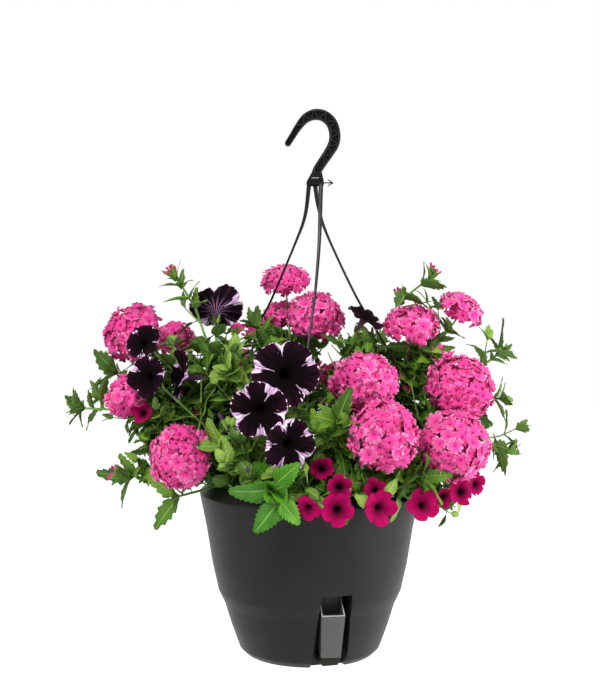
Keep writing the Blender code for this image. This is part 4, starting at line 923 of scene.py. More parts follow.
def make_soil():
    """Compost from the insert up to below the lip, with an uneven top and loose crumbs on it."""
    draw = random.Random(50)
    profile = [
        (0.0, WICK_BOTTOM + 0.0028), (WICK_RADIUS[0] - 0.0005, WICK_BOTTOM + 0.0028),
        (WICK_RADIUS[1] - 0.0005, INSERT_TOP + GAP), (inner_radius(INSERT_TOP) - 2 * GAP, INSERT_TOP + GAP),
        (inner_radius(0.0640) - 1.5 * GAP, 0.0640), (inner_radius(0.1130) - 1.5 * GAP, 0.1130),
    ]
    edge = inner_radius(SOIL_SURFACE[0][1]) - 1.5 * GAP
    rings = 24
    profile += [(edge * (1 - ring / rings), soil_height((edge * (1 - ring / rings), 0.0))) for ring in range(rings + 1)]
    soil = turned(profile, 96)
    soil = combine(soil, recess_shape(HOUSING_WALL + GAP * 1.5), "DIFFERENCE")
    for vert in soil.verts:
        if vert.co.z > 0.165:
            vert.co.z += 0.0022 * pattern.noise(vert.co * 90.0) + 0.0012 * pattern.noise(vert.co * 260.0)
    for _ in range(SOIL_CRUMBS):
        radius, angle = 0.116 * math.sqrt(draw.random()), draw.uniform(0, math.tau)
        spot = Vector((radius * math.cos(angle), radius * math.sin(angle), 0.0))
        size = draw.uniform(0.0010, 0.0034)
        place_at = Matrix.Translation((spot.x, spot.y, soil_height(spot) + size * 0.3))
        turn = Matrix.Rotation(draw.uniform(0, math.tau), 4, (draw.random(), draw.random(), 1.0))
        squash = Matrix.Diagonal((1.0, draw.uniform(0.6, 1.0), draw.uniform(0.5, 0.8), 1.0))
        bmesh.ops.create_icosphere(soil, subdivisions=1, radius=size, matrix=place_at @ turn @ squash)
    finish_piece("compost", soil, (MATERIALS["soil"],), ["potting_soil"])


def band_frames(points, widths, depth):
    """Frames along a line in the XZ plane: X across the band, Y through its depth."""
    frames = []
    for index, (point, width) in enumerate(zip(points, widths)):
        ahead = heading(points, index)
        side = Vector((-ahead.z, 0.0, ahead.x))
        turn = Matrix((side * width, Vector((0.0, depth, 0.0)), ahead)).transposed()
        frames.append(Matrix.Translation(point) @ turn.to_4x4())
    return frames


def band(target, points, widths, depth):
    """A flat band of changing width along a line in the XZ plane, with rounded corners."""
    outline = [(-0.5, -0.4), (-0.4, -0.5), (0.4, -0.5), (0.5, -0.4), (0.5, 0.4), (0.4, 0.5), (-0.4, 0.5), (-0.5, 0.4)]
    sweep(target, outline, band_frames(points, widths, depth))


def make_hook(shape):
    """The hook: a web between two raised edges that join round the tip, with zig-zag ribs between them."""
    line = smooth_route([Vector((x, width, z)) for x, z, width in HOOK_LINE], 6)
    points = [Vector((spot.x, 0.0, spot.z)) for spot in line]
    widths = [spot.y for spot in line]
    web = HOOK_WEB / HOOK_DEPTH / 2
    lip = 0.5 - HOOK_EDGE / (sum(widths) / len(widths))
    corner, slope = 0.04, 0.11
    right = [(0.5, 0.5 - slope), (0.5 - slope, 0.5), (lip + corner, 0.5), (lip, 0.5 - corner), (lip, web)]
    left = [(-x, y) for x, y in right[::-1]]
    outline = right + left + [(x, -y) for x, y in left[::-1]] + [(x, -y) for x, y in right[::-1]]
    sweep(shape, outline, band_frames(points, widths, HOOK_DEPTH))
    for index in range(2, len(HOOK_LINE) - 3):
        for half in (0, 1):
            ends = []
            for step in (0, 1):
                spot = (2 * index + half + step) * 3
                ahead = heading(points, spot)
                side = 1 if (half + step) % 2 else -1
                ends.append(points[spot] + Vector((-ahead.z, 0.0, ahead.x)) * (widths[spot] - HOOK_EDGE) / 2 * side)
            band(shape, ends, (HOOK_RIB, HOOK_RIB), HOOK_DEPTH - 0.0010)
    tip, reach = points[-1], (widths[-1] - HOOK_EDGE) / 2
    ahead = heading(points, len(points) - 1)
    side = Vector((-ahead.z, 0.0, ahead.x))
    turns = [math.pi * step / 10 for step in range(11)]
    band(shape, [tip + (side * math.cos(turn) + ahead * math.sin(turn)) * reach for turn in turns],
         [HOOK_EDGE] * len(turns), HOOK_DEPTH)
    bmesh.ops.create_cone(shape, cap_ends=True, segments=32, radius1=reach, radius2=reach, depth=HOOK_WEB,
                          matrix=Matrix.Translation(tip) @ Matrix.Rotation(math.pi / 2, 4, "X"))
    # The web and the disc at the tip take the darker material, as painted shade between the ribs
    for face in shape.faces:
        if all(abs(vert.co.y) < HOOK_WEB / 2 + 0.0001 for vert in face.verts):
            face.material_index = 1


def make_hanger():
    """One moulding: the hook, the hub with its tab, and three strands down to the lugs."""
    shape = start_piece()
    make_hook(shape)
    left, right = HUB_CENTRE - HUB_HALF_WIDTH, HUB_CENTRE + HUB_HALF_WIDTH
    low, high = HUB_HEIGHT - 0.0030, HUB_HEIGHT + 0.0030
    hub = [(x, y, z) for x in (left, right) for y in (-0.0052, 0.0075) for z in (low, high)]
    shoulder = [(x, y, high - 0.0010) for x in (left, right) for y in (-0.0048, 0.0048)]
    shoulder += [(x, y, SHOULDER_TOP) for x in SHOULDER_SPAN for y in (-0.0044, 0.0044)]
    for corners, edge in ((hub, 0.0024), (shoulder, 0.0014)):
        body = soften(block(corners), edge, 3)
        for face in body.faces:
            face.material_index = 1
        join(shape, body)
    # The rib across the hub's front takes the light grey material: a painted highlight
    highlight_rib = [Vector((x, -0.0048, HIGHLIGHT_RIB_HEIGHT)) for x in HIGHLIGHT_RIB_SPAN]
    tube(shape, highlight_rib, (0.0004, 0.0004), 8, 2)
    tab = [Vector((right - 0.001, 0.0, HUB_HEIGHT + 0.001)), Vector((TAB_REACH, 0.0, HUB_HEIGHT + 0.001))]
    band(shape, tab, [0.0014, 0.0014], 0.0030)
    for rise in (-BARB_END[1], BARB_END[1]):
        band(shape, [tab[1], Vector((BARB_END[0], 0.0, tab[1].z + rise))], [0.0014, 0.0010], 0.0028)
    for name, azimuth in STRAND_AZIMUTHS.items():
        foot = ring_place(LUG_RADIUS, azimuth)
        low, high = LUG_HEIGHTS
        knots = [Vector(point) for point in STRAND_POINTS[name]] + [Vector((foot.x, foot.y, 0.2250))]
        knots[0].z += 0.0015
        route = smooth_route(knots, 6)
        broad, slim = STRAND_RADII
        radii = [slim + (broad - slim) * max(0.0, 1 - index / 13) for index in range(len(route))]
        collar = ((high + 0.0030, slim), (high + GAP, COLLAR_RADIUS), (high + GAP / 2, slim),
                  (low - GAP, slim), (low - GAP * 1.5, BARB_RADIUS), (low - 0.0058, 0.0013))
        for height, radius in collar:
            route.append(Vector((foot.x, foot.y, height)))
            radii.append(radius)
        tube(shape, route, radii, 10)
    finish_piece("hanger_moulding", shape, (MATERIALS["hanger"], MATERIALS["hanger_web_shade_and_hub"], MATERIALS["spout_painted_highlight"]),
                 ["hanger"], 35.0)


# Leaves and flowers as templates of unit size

def leaf_template(kind, across):
    """A closed thin leaf of unit length, rooted at the origin along Y, its upper side towards Z."""
    width, teeth, depth, fold = FINE_LEAVES[kind]
    rows = 2 * teeth + 2 if teeth else 8
    shape = start_piece()
    bmesh.ops.create_grid(shape, x_segments=across, y_segments=rows, size=0.5)
    write_map(shape, lambda co: (co.x + 0.5, co.y + 0.5))
    for vert in shape.verts:
        side, share = vert.co.x * 2.0, vert.co.y + 0.5
        row = round(share * rows)
        belly = math.sin(math.pi * min(share, 0.999) ** (0.62 if teeth else 0.80)) ** (0.75 if teeth else 0.62)
        stalk = min(1.0, share / (0.16 if teeth else 0.22)) ** 1.5
        half = width * (0.06 + 0.94 * belly * stalk) if share < 0.999 else 0.004
        notch = depth if teeth and row % 2 == 0 and 0 < row < rows else 0.0
        vert.co.x = side * half * (1.0 - notch * side ** 2)
        vert.co.y = share + (0.5 / rows * abs(side) if teeth and row % 2 else 0.0)
        ripple = 0.022 * math.sin(share * 11.0 + side * 1.6) * abs(side)
        vert.co.z = fold * abs(side) * half + ripple
    bmesh.ops.solidify(shape, geom=shape.faces[:], thickness=0.012)
    bmesh.ops.recalc_face_normals(shape, faces=shape.faces[:])
    shape.normal_update()
    for face in shape.faces:
        face.material_index = 0 if face.normal.z > -0.2 else 1
    return as_template(shape)


def bud_template(width, material):
    """A closed bud of unit length along Y: a green calyx below, and folded petals that taper to its tip."""
    profile = ((0.0, 0.0), (0.60, 0.10), (0.85, 0.40), (0.80, 0.58), (0.66, 0.60), (1.0, 0.82), (0.0, 1.0))
    shape = spin_flower([(reach * width, height) for reach, height in profile], 7)
    for face in shape.faces:
        face.material_index = material if face.calc_center_median().z > 0.585 else 2
    bmesh.ops.transform(shape, matrix=Matrix.Rotation(-math.pi / 2, 4, "X"), verts=shape.verts[:])
    return as_template(shape)


def narrow_leaf_template(half_width, lift, material):
    """A narrow green leaf or sepal of unit length, bent up towards its tip."""
    shape = start_piece()
    bmesh.ops.create_grid(shape, x_segments=2, y_segments=4, size=0.5)
    write_map(shape, lambda co: (co.x + 0.5, co.y + 0.5))
    for vert in shape.verts:
        share = vert.co.y + 0.5
        vert.co = Vector((vert.co.x * 2.0 * half_width * (1.0 - share ** 2), share, lift * share ** 2))
    bmesh.ops.solidify(shape, geom=shape.faces[:], thickness=0.03)
    bmesh.ops.recalc_face_normals(shape, faces=shape.faces[:])
    for face in shape.faces:
        face.material_index = material
    return as_template(shape)


def spin_flower(profile, steps):
    """Spin a flower's outline into a cup whose map holds the turn about the tube and the reach."""
    shape = start_piece()
    corners = [shape.verts.new((reach, 0.0, height)) for reach, height in profile]
    edges = [shape.edges.new(pair) for pair in zip(corners, corners[1:])]
    bmesh.ops.spin(shape, geom=corners + edges, cent=(0, 0, 0), axis=(0, 0, 1),
                   angle=math.tau, steps=steps, use_merge=True)
    bmesh.ops.remove_doubles(shape, verts=shape.verts[:], dist=1e-5)
    bmesh.ops.recalc_face_normals(shape, faces=shape.faces[:])
    layer = shape.loops.layers.uv["form"]
    for face in shape.faces:
        middle = face.calc_center_median()
        base = math.atan2(middle.y, middle.x) / math.tau
        for loop in face.loops:
            turn = math.atan2(loop.vert.co.y, loop.vert.co.x) / math.tau
            loop[layer].uv = (turn + round(base - turn), loop.vert.co.xy.length)
    return shape


def floret_template(seed):
    """One verbena floret of unit radius: five notched petals that lean each their own way."""
    draw = random.Random(seed)
    columns = len(FLORET_PETAL) * 5
    petals = [(draw.uniform(-0.04, 0.36), draw.uniform(0.92, 1.06)) for _ in range(5)]
    shape = spin_flower(FLORET_PROFILE, columns)
    for vert in shape.verts:
        if vert.co.xy.length > 0.9:  # on the rim
            column = round(math.atan2(vert.co.y, vert.co.x) % math.tau / math.tau * columns) % columns
            lift, size = petals[column // len(FLORET_PETAL)]
            turn, reach, curl = FLORET_PETAL[column % len(FLORET_PETAL)]
            spot = Vector((reach * size, 0.0, lift + curl))
            angle = math.tau * column / columns + math.radians(turn)
            vert.co = Matrix.Rotation(angle, 3, "Z") @ spot
    return as_template(shape)


def make_verbena_head(name, radius, height_ratio, facing, seed):
    """A domed head: florets all over it, each on its tube from a dark pink core that is painted shade between the
    florets.
    """
    draw = random.Random(seed)
    node = "verbena_" + name
    area = math.tau * (1.0 - math.cos(DOME_REACH)) * radius ** 2 * height_ratio
    count = round(area / (FLORET_SPACING ** 2 * 0.87))
    shape = start_piece()
    for direction in dome_directions(count, DOME_REACH):
        reach = radius * draw.uniform(0.88, 1.00)
        spot = Vector((direction.x, direction.y, direction.z * height_ratio)) * reach
        lean = Vector([draw.uniform(-0.34, 0.34) for _ in range(3)])
        look = (Vector((direction.x, direction.y, direction.z / height_ratio)).normalized() + lean).normalized()
        size = FLORET_RADIUS * draw.uniform(0.84, 1.10)
        turn = facing_frame(spot, look, draw.uniform(0, math.tau))
        place(shape, draw.choice(FLORETS), turn @ Matrix.Scale(size, 4), draw.random())
        tube(shape, [spot * 0.30, spot - look * size * 0.20], (0.0012, 0.0009), 5, 1)
    # A dark pink core inside the dome, standing for the shade in the gaps between the florets
    shade_core = start_piece()
    bmesh.ops.create_icosphere(shade_core, subdivisions=3, radius=1.0)
    write_map(shade_core, lambda co: (0.0, 0.20))
    inner = radius * 0.72
    bmesh.ops.transform(shade_core, matrix=Matrix.Diagonal((inner, inner, inner * height_ratio, 1.0)), verts=shade_core.verts[:])
    join(shape, shade_core)
    bmesh.ops.transform(shape, matrix=facing_frame((0, 0, 0), facing), verts=shape.verts[:])
    shift = fit_to_solid(shape, node)
    BLOOMS.append((shift, radius, Vector(facing).normalized(), radius * 0.7))
    finish_piece(node + "_head", shape, (MATERIALS["verbena"], MATERIALS["stem"]), [node])


def ruffle(shape, draw, notch, lean, pale):
    """Shape a flower's rim: five rounded lobes that lean each their own way, creased where they meet.

    Each crease gets a strength of its own as its tone, which the material draws as the wedge's width.
    """
    leans = [draw.uniform(-0.5 * lean, lean) for _ in range(LOBES)]
    sizes = [draw.uniform(-0.06, 0.06) for _ in range(LOBES)]
    wedges = [pale * draw.uniform(0.60, 1.20) for _ in range(LOBES)]
    phases = [draw.uniform(0, math.tau) for _ in range(3)]
    layer = shape.verts.layers.float["tone"]
    for vert in shape.verts:
        reach = min(1.0, vert.co.xy.length)
        angle = math.atan2(vert.co.y, vert.co.x) % math.tau
        lobe, share = divmod(LOBES * angle / math.tau, 1.0)
        crease = math.exp(-(min(share, 1.0 - share) / 0.09) ** 2)
        bulge = math.sin(math.pi * share)
        scale = 1.0 + (0.05 * bulge - notch * crease + sizes[int(lobe) % LOBES] * bulge) * reach ** 2
        vert[layer] = wedges[round(lobe + share) % LOBES]
        vert.co.x *= scale
        vert.co.y *= scale
        pleats = 0.030 * math.sin(11 * angle + phases[0]) + 0.020 * math.sin(19 * angle + phases[1])
        tilt = 0.09 * math.sin(2 * angle + phases[2]) + leans[int(lobe) % LOBES] * bulge ** 2
        vert.co.z += (tilt + pleats) * reach ** 3 - 0.12 * crease * reach ** 2


def make_trumpet(node, radius, facing, tube_ratio, pale, seed, small):
    """A petunia: a waved, lobed face that narrows into its tube, with a calyx behind it."""
    draw = random.Random(seed)
    roll = draw.uniform(0, math.tau)
    if small:
        facing = [part + draw.uniform(-0.35, 0.35) for part in facing]
    profile = [(reach, height * tube_ratio if height < -0.3 else height) for reach, height in TRUMPET]
    shape = spin_flower(profile, 60 if small else 100)
    bmesh.ops.solidify(shape, geom=shape.faces[:], thickness=0.022)
    bmesh.ops.recalc_face_normals(shape, faces=shape.faces[:])
    shape.normal_update()
    for face in shape.faces:
        middle = face.calc_center_median()
        outward = Vector((middle.x, middle.y, -0.35 if middle.z < -0.15 else -3.0)).normalized()
        face.material_index = 1 if face.normal.dot(outward) > 0 else 0
    ruffle(shape, draw, 0.20 if small else 0.08, 0.60 if small else 0.30, pale)
    place_frame = facing_frame((0, 0, 0), facing, roll) @ Matrix.Scale(radius, 4)
    bmesh.ops.transform(shape, matrix=place_frame, verts=shape.verts[:])
    shift = fit_to_solid(shape, node)
    BLOOMS.append((shift, radius, Vector(facing).normalized(), radius * 0.25))
    FEET.append((shift, radius * tube_ratio))
    seat = Matrix.Translation(shift) @ place_frame @ Matrix.Translation((0, 0, -tube_ratio))
    for index in range(5):
        turn = Matrix.Rotation(math.tau * (index + 0.5) / 5, 4, "Z") @ Matrix.Translation((0, 0.09, 0))
        lean = Matrix.Rotation(math.pi / 2 - 0.42, 4, "X")
        place(shape, LEAVES["sepal"], seat @ turn @ lean @ Matrix.Scale(0.52 if small else 0.46, 4), draw.random())
    skin = MATERIALS["magenta"] if small else MATERIALS["star"]
    back = MATERIALS["magenta"] if small else MATERIALS["tube"]
    finish_piece(node + "_bloom", shape, (skin, back, MATERIALS["petunia_leaf"]), [node])


# Sprays: their stems and leaves are read from the solids, so that the fine ones stand in the same places

def read_leaf(tip, kind):
    """The frame, length and arch of a solid's leaf from the four corners next to its tip, or none."""
    ring = [edge.other_vert(tip).co for edge in tip.link_edges]
    if len(ring) != 4:
        return None
    first = ring[0]
    pair = min(ring[1:], key=lambda co: (co - first).length)
    others = [co for co in ring[1:] if co is not pair]
    thickness = ((first - pair).length, (others[0] - others[1]).length)
    if max(abs(size - SOLID_BLADE) for size in thickness) > 0.00004:
        return None
    share, half = SOLID_LEAVES[kind][-1]
    left, right = (first + pair) / 2, (others[0] + others[1]) / 2
    side = right - left
    length = side.length / (2 * half)
    side.normalize()
    top = (first - pair).normalized()
    middle = (left + right) / 2
    if (tip.co - middle).dot(top) > 0:
        top = -top
    drop = (tip.co - middle).dot(top)
    ahead = (tip.co - middle - top * drop) / (length * (1.0 - share))
    arch = -drop / (length * (1.0 - share ** 2))
    root = tip.co - (ahead - top * arch) * length + top * SOLID_BLADE / 2
    return root, side, ahead, top, length, arch


def leaf_corners(leaf, kind):
    """Where the solid's leaf has its corners."""
    root, side, ahead, top, length, arch = leaf
    corners = [root + (ahead - top * arch) * length - top * SOLID_BLADE / 2]
    for share, half in SOLID_LEAVES[kind]:
        middle = root + (ahead * share - top * arch * share ** 2) * length
        for across in (-half, half):
            for depth in (0.0, SOLID_BLADE):
                corners.append(middle + side * across * length - top * depth)
    return corners


def read_spray(node, kind):
    """The leaves of a spray's solid, and the line of points of each of its stems from the crown up."""
    solid = bmesh.new()
    solid.from_mesh(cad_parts[node].data)
    bmesh.ops.remove_doubles(solid, verts=solid.verts[:], dist=1e-5)
    leaves = [leaf for leaf in (read_leaf(vert, kind) for vert in solid.verts) if leaf]
    solid.verts.ensure_lookup_table()
    places = KDTree(len(solid.verts))
    for index, vert in enumerate(solid.verts):
        places.insert(vert.co, index)
    places.balance()
    blades = set()
    for leaf in leaves:
        for corner in leaf_corners(leaf, kind):
            blades.update(solid.verts[found[1]] for found in places.find_range(corner, 0.0003))
    bmesh.ops.delete(solid, geom=list(blades), context="VERTS")
    foot = min(vert.co.z for vert in solid.verts)
    low = [vert.co for vert in solid.verts if vert.co.z < foot + 0.0005]
    crown = sum(low, Vector()) / len(low) + Vector((0, 0, CROWN_HEIGHT_ABOVE_FOOT))
    stems = []
    for face in solid.faces:
        seen = set(face.verts)
        row = set(face.verts)
        route = []
        while len(row) == 3:
            middle = sum((vert.co for vert in row), Vector()) / 3
            if (middle - crown).length < 0.012:
                break
            route.append(middle)
            row = {edge.other_vert(vert) for vert in row for edge in vert.link_edges} - seen
            seen |= row
        if len(route) >= 3:
            stems.append([crown] + route[::-1])
    solid.free()
    return leaves, stems, crown


def leaf_matrix(root, ahead, top, length):
    """A frame for a leaf template: Y along the leaf, Z out of its upper side."""
    ahead = ahead.normalized()
    turn = Matrix((ahead.cross(top), ahead, top)).transposed().to_4x4()
    return Matrix.Translation(root) @ turn @ Matrix.Scale(length, 4)


def has_room(points):
    """Whether points keep out of the pot's wall, the soil and the blooms, and hide no bloom and no pot front."""
    for point in points:
        reach = math.hypot(point.x, point.y)
        if point.z < 0.2125 and 0.117 < reach < 0.142 or point.z < 0.186 and reach <= 0.117:
            return False
        if point.z < 0.205 and abs(point.x) < 0.125 or point.z < 0.215 and point.x < -0.12 and point.y < 0.05:
            return False
        for centre, radius, facing, back in BLOOMS:
            offset = point - centre
            depth = offset.dot(facing)
            if -back < depth < 0.09 and (offset - facing * depth).length < radius * 1.04:
                return False
            hides = facing.y < -0.15 or centre.y < 0.06
            if hides and offset.y < 0.0 and math.hypot(offset.x, offset.z) < radius * 0.92:
                return False
    return True


def near_solids(point):
    """Whether a point is close to the solids' foliage, and inside the box of the solids."""
    low, high = CAD_BOX
    inside = all(low[axis] - BOX_SLACK < point[axis] < high[axis] + BOX_SLACK for axis in range(3))
    return inside and GUIDE.find(point)[2] < FOLIAGE_REACH


def outward_from(draw, forward, roll):
    """A direction square to a stem, turned about it."""
    return Matrix.Rotation(roll, 3, forward) @ forward.orthogonal().normalized()


def add_leaf(shape, draw, kind, point, forward, out, lean, size, tone):
    """One leaf on a stem, if it has room: it leans away from the stem, turns its face up and arches down."""
    ahead = forward * math.cos(lean) + out * math.sin(lean)
    sunward = Vector((point.x, point.y, 0.0)).normalized() * 0.75 + Vector((0.0, 0.0, 0.60))
    top = (forward * math.sin(lean) - out * math.cos(lean)) * 0.7 + sunward
    top = (top - ahead * top.dot(ahead)).normalized()
    arch = draw.uniform(0.08, 0.40)
    tip = point + (ahead - top * arch) * size
    side = ahead.cross(top) * size * 0.26
    middle = point + (ahead * 0.55 - top * arch * 0.3) * size
    twist, colour = draw.uniform(-0.5, 0.5), draw.uniform(-0.22, 0.22)
    if point.z > NARROW_ABOVE:
        kind = "narrow"
    if near_solids(tip) and has_room((tip, middle + side, middle - side)):
        place(shape, LEAVES[kind], leaf_matrix(point, ahead, top, size), min(1.0, max(0.0, tone + colour)),
              arch, twist)


def add_buds(shape, draw, kind, tip, forward):
    """Buds at the end of a stem: a pink-tipped cluster on a verbena, one long dark bud on a petunia."""
    count, size, reach = (10, 0.012, 0.010) if kind == "serrated" else (1, 0.026, 0.008)
    for index in range(count):
        out = outward_from(draw, forward, GOLDEN_ANGLE * index)
        ahead = (forward + out * 0.75 * math.sqrt(index / count) + Vector((0, 0, 0.3))).normalized()
        end = tip + ahead * reach * draw.uniform(0.6, 1.0)
        side = outward_from(draw, ahead, draw.uniform(0, math.tau))
        tube(shape, [tip, end], (0.0008, 0.0007), 5, 2)
        place(shape, LEAVES[kind + "_bud"], leaf_matrix(end, ahead, side, size * draw.uniform(0.7, 1.1)), draw.random())


def dress_stem(shape, draw, kind, route, radii, bare, sizes, tones, bud_share=BUD_SHARE):
    """A stem with its leaves from the bare foot to the tip, and the places where side shoots may start."""
    tube(shape, route, radii, 6, 2)
    length = sum((after - before).length for before, after in zip(route, route[1:]))
    starts = []
    turn = draw.uniform(0, math.tau)
    travelled = 0.0
    due = length * bare
    for start, stop in zip(route, route[1:]):
        step = (stop - start).length
        forward = (stop - start).normalized()
        while due < travelled + step:
            point = start.lerp(stop, (due - travelled) / step)
            share = due / length
            turn += math.pi / 2 if kind != "oval" else GOLDEN_ANGLE
            for part in (0.0, math.pi) if kind != "oval" else (0.0,):
                out = outward_from(draw, forward, turn + part + draw.uniform(-0.35, 0.35))
                size = (sizes[0] + (sizes[1] - sizes[0]) * share) * draw.uniform(0.70, 1.15)
                tone = tones[0] + (tones[1] - tones[0]) * share
                add_leaf(shape, draw, kind, point, forward, out, draw.uniform(0.75, 1.25), size, tone)
                starts.append((point, forward, out, share))
            due += LEAF_SPACING[kind] * draw.uniform(0.85, 1.2)
        travelled += step
    forward = heading(route, len(route) - 1)
    if any((route[-1] - centre).length < radius * 1.6 for centre, radius, _, _ in BLOOMS):
        return starts
    for index in range(4):
        out = outward_from(draw, forward, math.tau * index / 4 + draw.uniform(-0.3, 0.3))
        size = sizes[1] * draw.uniform(0.45, 0.85)
        add_leaf(shape, draw, kind, route[-1], forward, out, draw.uniform(0.25, 0.75), size, tones[1])
    if kind != "sprig" and draw.random() < bud_share and has_room([route[-1] + forward * 0.03]):
        add_buds(shape, draw, kind, route[-1], forward)
    return starts


def stop_at_foot(route):
    """Cut a stem where it meets the foot of its petunia, so that it doesn't show in the throat."""
    for centre, reach in FEET:
        ways = [(spot - centre).length for spot in route]
        if ways[-1] < reach < ways[-3]:
            cut = next(index for index, way in enumerate(ways) if index > len(ways) // 2 and way < reach)
            share = (ways[cut - 1] - reach) / (ways[cut - 1] - ways[cut])
            return route[:cut] + [route[cut - 1].lerp(route[cut], min(1.0, max(0.1, share)))]
    return route


def add_side_shoot(shape, draw, kind, point, forward, out, share):
    """A side shoot that bends up towards the light, with leaves to its tip."""
    length = draw.uniform(*SHOOT_LENGTH) * (1.15 - 0.5 * share)
    start = (forward * 0.65 + out * 0.85 + Vector((0, 0, draw.uniform(-0.25, 0.35)))).normalized()
    end = (start + Vector((0, 0, draw.uniform(0.0, 0.7)))).normalized()
    knots = [point, point + start * length * 0.35, point + (start * 0.55 + end * 0.45) * length * 0.75,
             point + (start * 0.4 + end * 0.6) * length]
    route = smooth_route(knots, 2)
    if near_solids(route[-1]) and has_room(route[3:]):
        base, tip = LEAF_SIZES[kind]
        # Shoots low on the stem get darker leaves: painted shade inside the foliage
        dress_stem(shape, draw, kind, route, tapered(0.0011, 0.0006, len(route)), 0.20, (base * 0.85, tip * 0.8),
                   (0.10 + 0.35 * share, 0.55 + 0.40 * share))


def add_undergrowth(shape, draw, kind, crown):
    """Low shoots from the crown that fill the pot and lean over its rim, in the shade of the rest, with their leaves
    painted dark as that shade.
    """
    azimuth = math.atan2(crown.x, -crown.y)
    for _ in range(UNDERGROWTH):
        out = ring_place(1.0, azimuth + draw.uniform(-1.5, 1.5))
        length = draw.uniform(0.045, 0.110)
        knots = [crown, crown + out * length * 0.30 + Vector((0, 0, 0.030)),
                 crown + out * length * 0.70 + Vector((0, 0, draw.uniform(0.036, 0.055))),
                 crown + out * length + Vector((0, 0, draw.uniform(0.030, 0.085)))]
        route = smooth_route(knots, 3)
        if has_room(route[3:]):
            base, tip = LEAF_SIZES[kind]
            # Tones 0.0 to 0.30 paint these leaves dark as shade
            dress_stem(shape, draw, kind, route, tapered(0.0014, 0.0007, len(route)), 0.22, (base, tip), (0.0, 0.30))


def make_spray(name, kind, seed):
    """A spray: round stems, the leaves of the solid made fine, and leafy side shoots between them."""
    draw = random.Random(seed)
    node = "spray_" + name
    leaves, stems, crown = SPRAY_PARTS[name]
    shape = start_piece()
    for root, side, ahead, top, length, arch in leaves:
        size = length * draw.uniform(0.80, 1.0)
        if (root + ahead * length).z > FOLIAGE_TOP or abs((root + ahead * length).x - FOLIAGE_MIDDLE) > FOLIAGE_HALF:
            size *= 0.6
        place(shape, LEAVES[kind + "_broad"], leaf_matrix(root, ahead, top, size), draw.uniform(0.2, 0.8),
              arch, draw.uniform(-0.25, 0.25))
    for root, tip, tone in LOW_LEAVES if name == "front_sprig" else ():
        ahead = Vector(tip) - Vector(root)
        side = ahead.cross(Vector((0.0, -1.0, 0.25))).normalized()
        top = side.cross(ahead).normalized()
        tube(shape, [Vector(LOW_NODE), Vector(root) + ahead * 0.08], (0.0009, 0.0007), 6, 2)
        place(shape, LEAVES[kind + "_broad"], leaf_matrix(Vector(root), ahead, top, ahead.length), tone, 0.14, 0.2)
    for points in stems:
        route = stop_at_foot(smooth_route(points, 3))
        # Leaf tones run from 0.05 at the crown to 0.75 at the tip: the dark inner leaves are painted shade
        starts = dress_stem(shape, draw, kind, route, tapered(0.0017, 0.0010, len(route)), 0.10, LEAF_SIZES[kind],
                            (0.05, 0.75), 1.0 if route[-1].z > NARROW_ABOVE else BUD_SHARE)
        length = sum((after - before).length for before, after in zip(route, route[1:]))
        starts = [start for start in starts if start[3] < 0.85]
        for point, forward, out, share in draw.sample(starts, min(round(length / SHOOT_SPACING[kind]), len(starts))):
            add_side_shoot(shape, draw, kind, point, forward, out, share)
    add_undergrowth(shape, draw, kind, crown)
    tube(shape, [crown - Vector((0, 0, 0.024)), crown - Vector((0, 0, 0.008)), crown], (0.0034, 0.0030, 0.0022), 12, 2)
    skins = [MATERIALS[part] for part in (LEAF_OF_SPRAY[kind], "underside", "stem", "verbena", "tube")]
    finish_piece(node + "_plant", shape, skins, [node])


def foliage_guide():
    """A tree of places along the solids' stems and leaves, near which the fine foliage stays."""
    spots = []
    for leaves, stems, _ in SPRAY_PARTS.values():
        for root, _, ahead, top, length, arch in leaves:
            spots += [root + (ahead * share - top * arch * share ** 2) * length for share in (0.3, 0.65, 1.0)]
        for points in stems:
            spots += smooth_route(points, 4)
    guide = KDTree(len(spots))
    for index, spot in enumerate(spots):
        guide.insert(spot, index)
    guide.balance()
    return guide


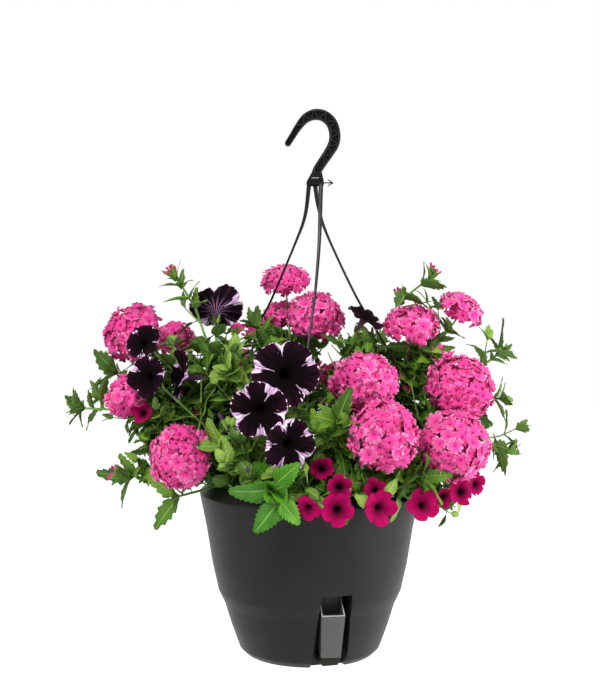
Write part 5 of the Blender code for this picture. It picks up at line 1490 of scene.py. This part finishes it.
def set_stage():
    """A white paper floor and a white room, a soft sun from the front left, a strip light and the camera."""
    camera = bpy.data.objects.new("camera", bpy.data.cameras.new("camera"))
    camera.data.lens = CAMERA_LENS
    camera.location = CAMERA_PLACE
    camera.rotation_euler = (math.radians(90.0 - CAMERA_PITCH), 0.0, 0.0)
    bpy.context.scene.collection.objects.link(camera)
    bpy.context.scene.camera = camera
    bpy.context.scene.view_settings.view_transform = "Standard"
    paper, tree, shader = new_material("white_paper", "FFFFFF", 0.95, 0.0)
    fibres = add_node(tree, "TexNoise", {"Scale": per_metre(4.0), "Detail": 2.0})
    set_inputs(tree, shader, {"Normal": add_node(tree, "Bump", {"Height": fibres, "Distance": 0.0001})})
    sheet = bmesh.new()
    bmesh.ops.create_grid(sheet, x_segments=2, y_segments=2, size=6.0,
                          matrix=Matrix.Translation((0, 0, FLOOR_HEIGHT)))
    floor = bpy.data.objects.new("floor", as_template(sheet))
    floor.data.materials.append(paper)
    bpy.context.scene.collection.objects.link(floor)
    world = bpy.data.worlds.new("studio")
    world.use_nodes = True
    tree = world.node_tree
    split = add_node(tree, "SeparateXYZ", {0: add_node(tree, "TexCoord", {}, "Generated")}).node
    ceiling = add_node(tree, "MapRange", {0: split.outputs[2], 1: 0.22, 2: 0.60, 3: 1.0, 4: 0.45})
    set_inputs(tree, tree.nodes["Background"], {"Color": (1.0, 1.0, 1.0, 1.0), "Strength": ceiling})
    bpy.context.scene.world = world
    for name, kind, spot, energy in LAMPS:
        lamp = bpy.data.lights.new(name, kind)
        lamp.energy = energy
        if kind == "SUN":
            lamp.angle = math.radians(25.0)
        else:
            lamp.shape = "RECTANGLE"
            lamp.size, lamp.size_y = 0.28, 1.3
        thing = bpy.data.objects.new(name, lamp)
        thing.location = spot
        thing.rotation_euler = (Vector((0, 0, 0.3)) - Vector(spot)).to_track_quat("-Z", "Y").to_euler()
        bpy.context.scene.collection.objects.link(thing)


SCRATCH = bpy.data.meshes.new("scratch")
FLORETS = [floret_template(seed) for seed in range(FLORET_KINDS)]
LEAVES = {"sepal": narrow_leaf_template(LINEAR_LEAF, 0.10, 2), "narrow": narrow_leaf_template(LINEAR_LEAF, -0.2, 0),
          "serrated_bud": bud_template(0.15, 3), "oval_bud": bud_template(0.11, 4)}
for leaf_kind in FINE_LEAVES:
    LEAVES[leaf_kind + "_broad"] = leaf_template(leaf_kind, 4)
    LEAVES[leaf_kind] = leaf_template(leaf_kind, 2)
BLOOMS = []
FEET = []
SPRAY_PARTS = {name: read_spray("spray_" + name, kind) for name, kind in SPRAYS.items()}
GUIDE = foliage_guide()

set_stage()
make_pot()
make_insert()
make_spout()
make_plug()
make_soil()
make_hanger()
for number, (name, values) in enumerate(VERBENA.items()):
    make_verbena_head(name, *values, 100 + number)
for number, (name, values) in enumerate(PETUNIAS.items()):
    make_trumpet("petunia_" + name, *values, 200 + number, False)
for number, (name, values) in enumerate(MAGENTA.items()):
    make_trumpet("magenta_" + name, *values, 1.2 - 0.45 * (number % 3), 200 + number, True)
for number, (name, kind) in enumerate(SPRAYS.items()):
    make_spray(name, kind, 300 + number)
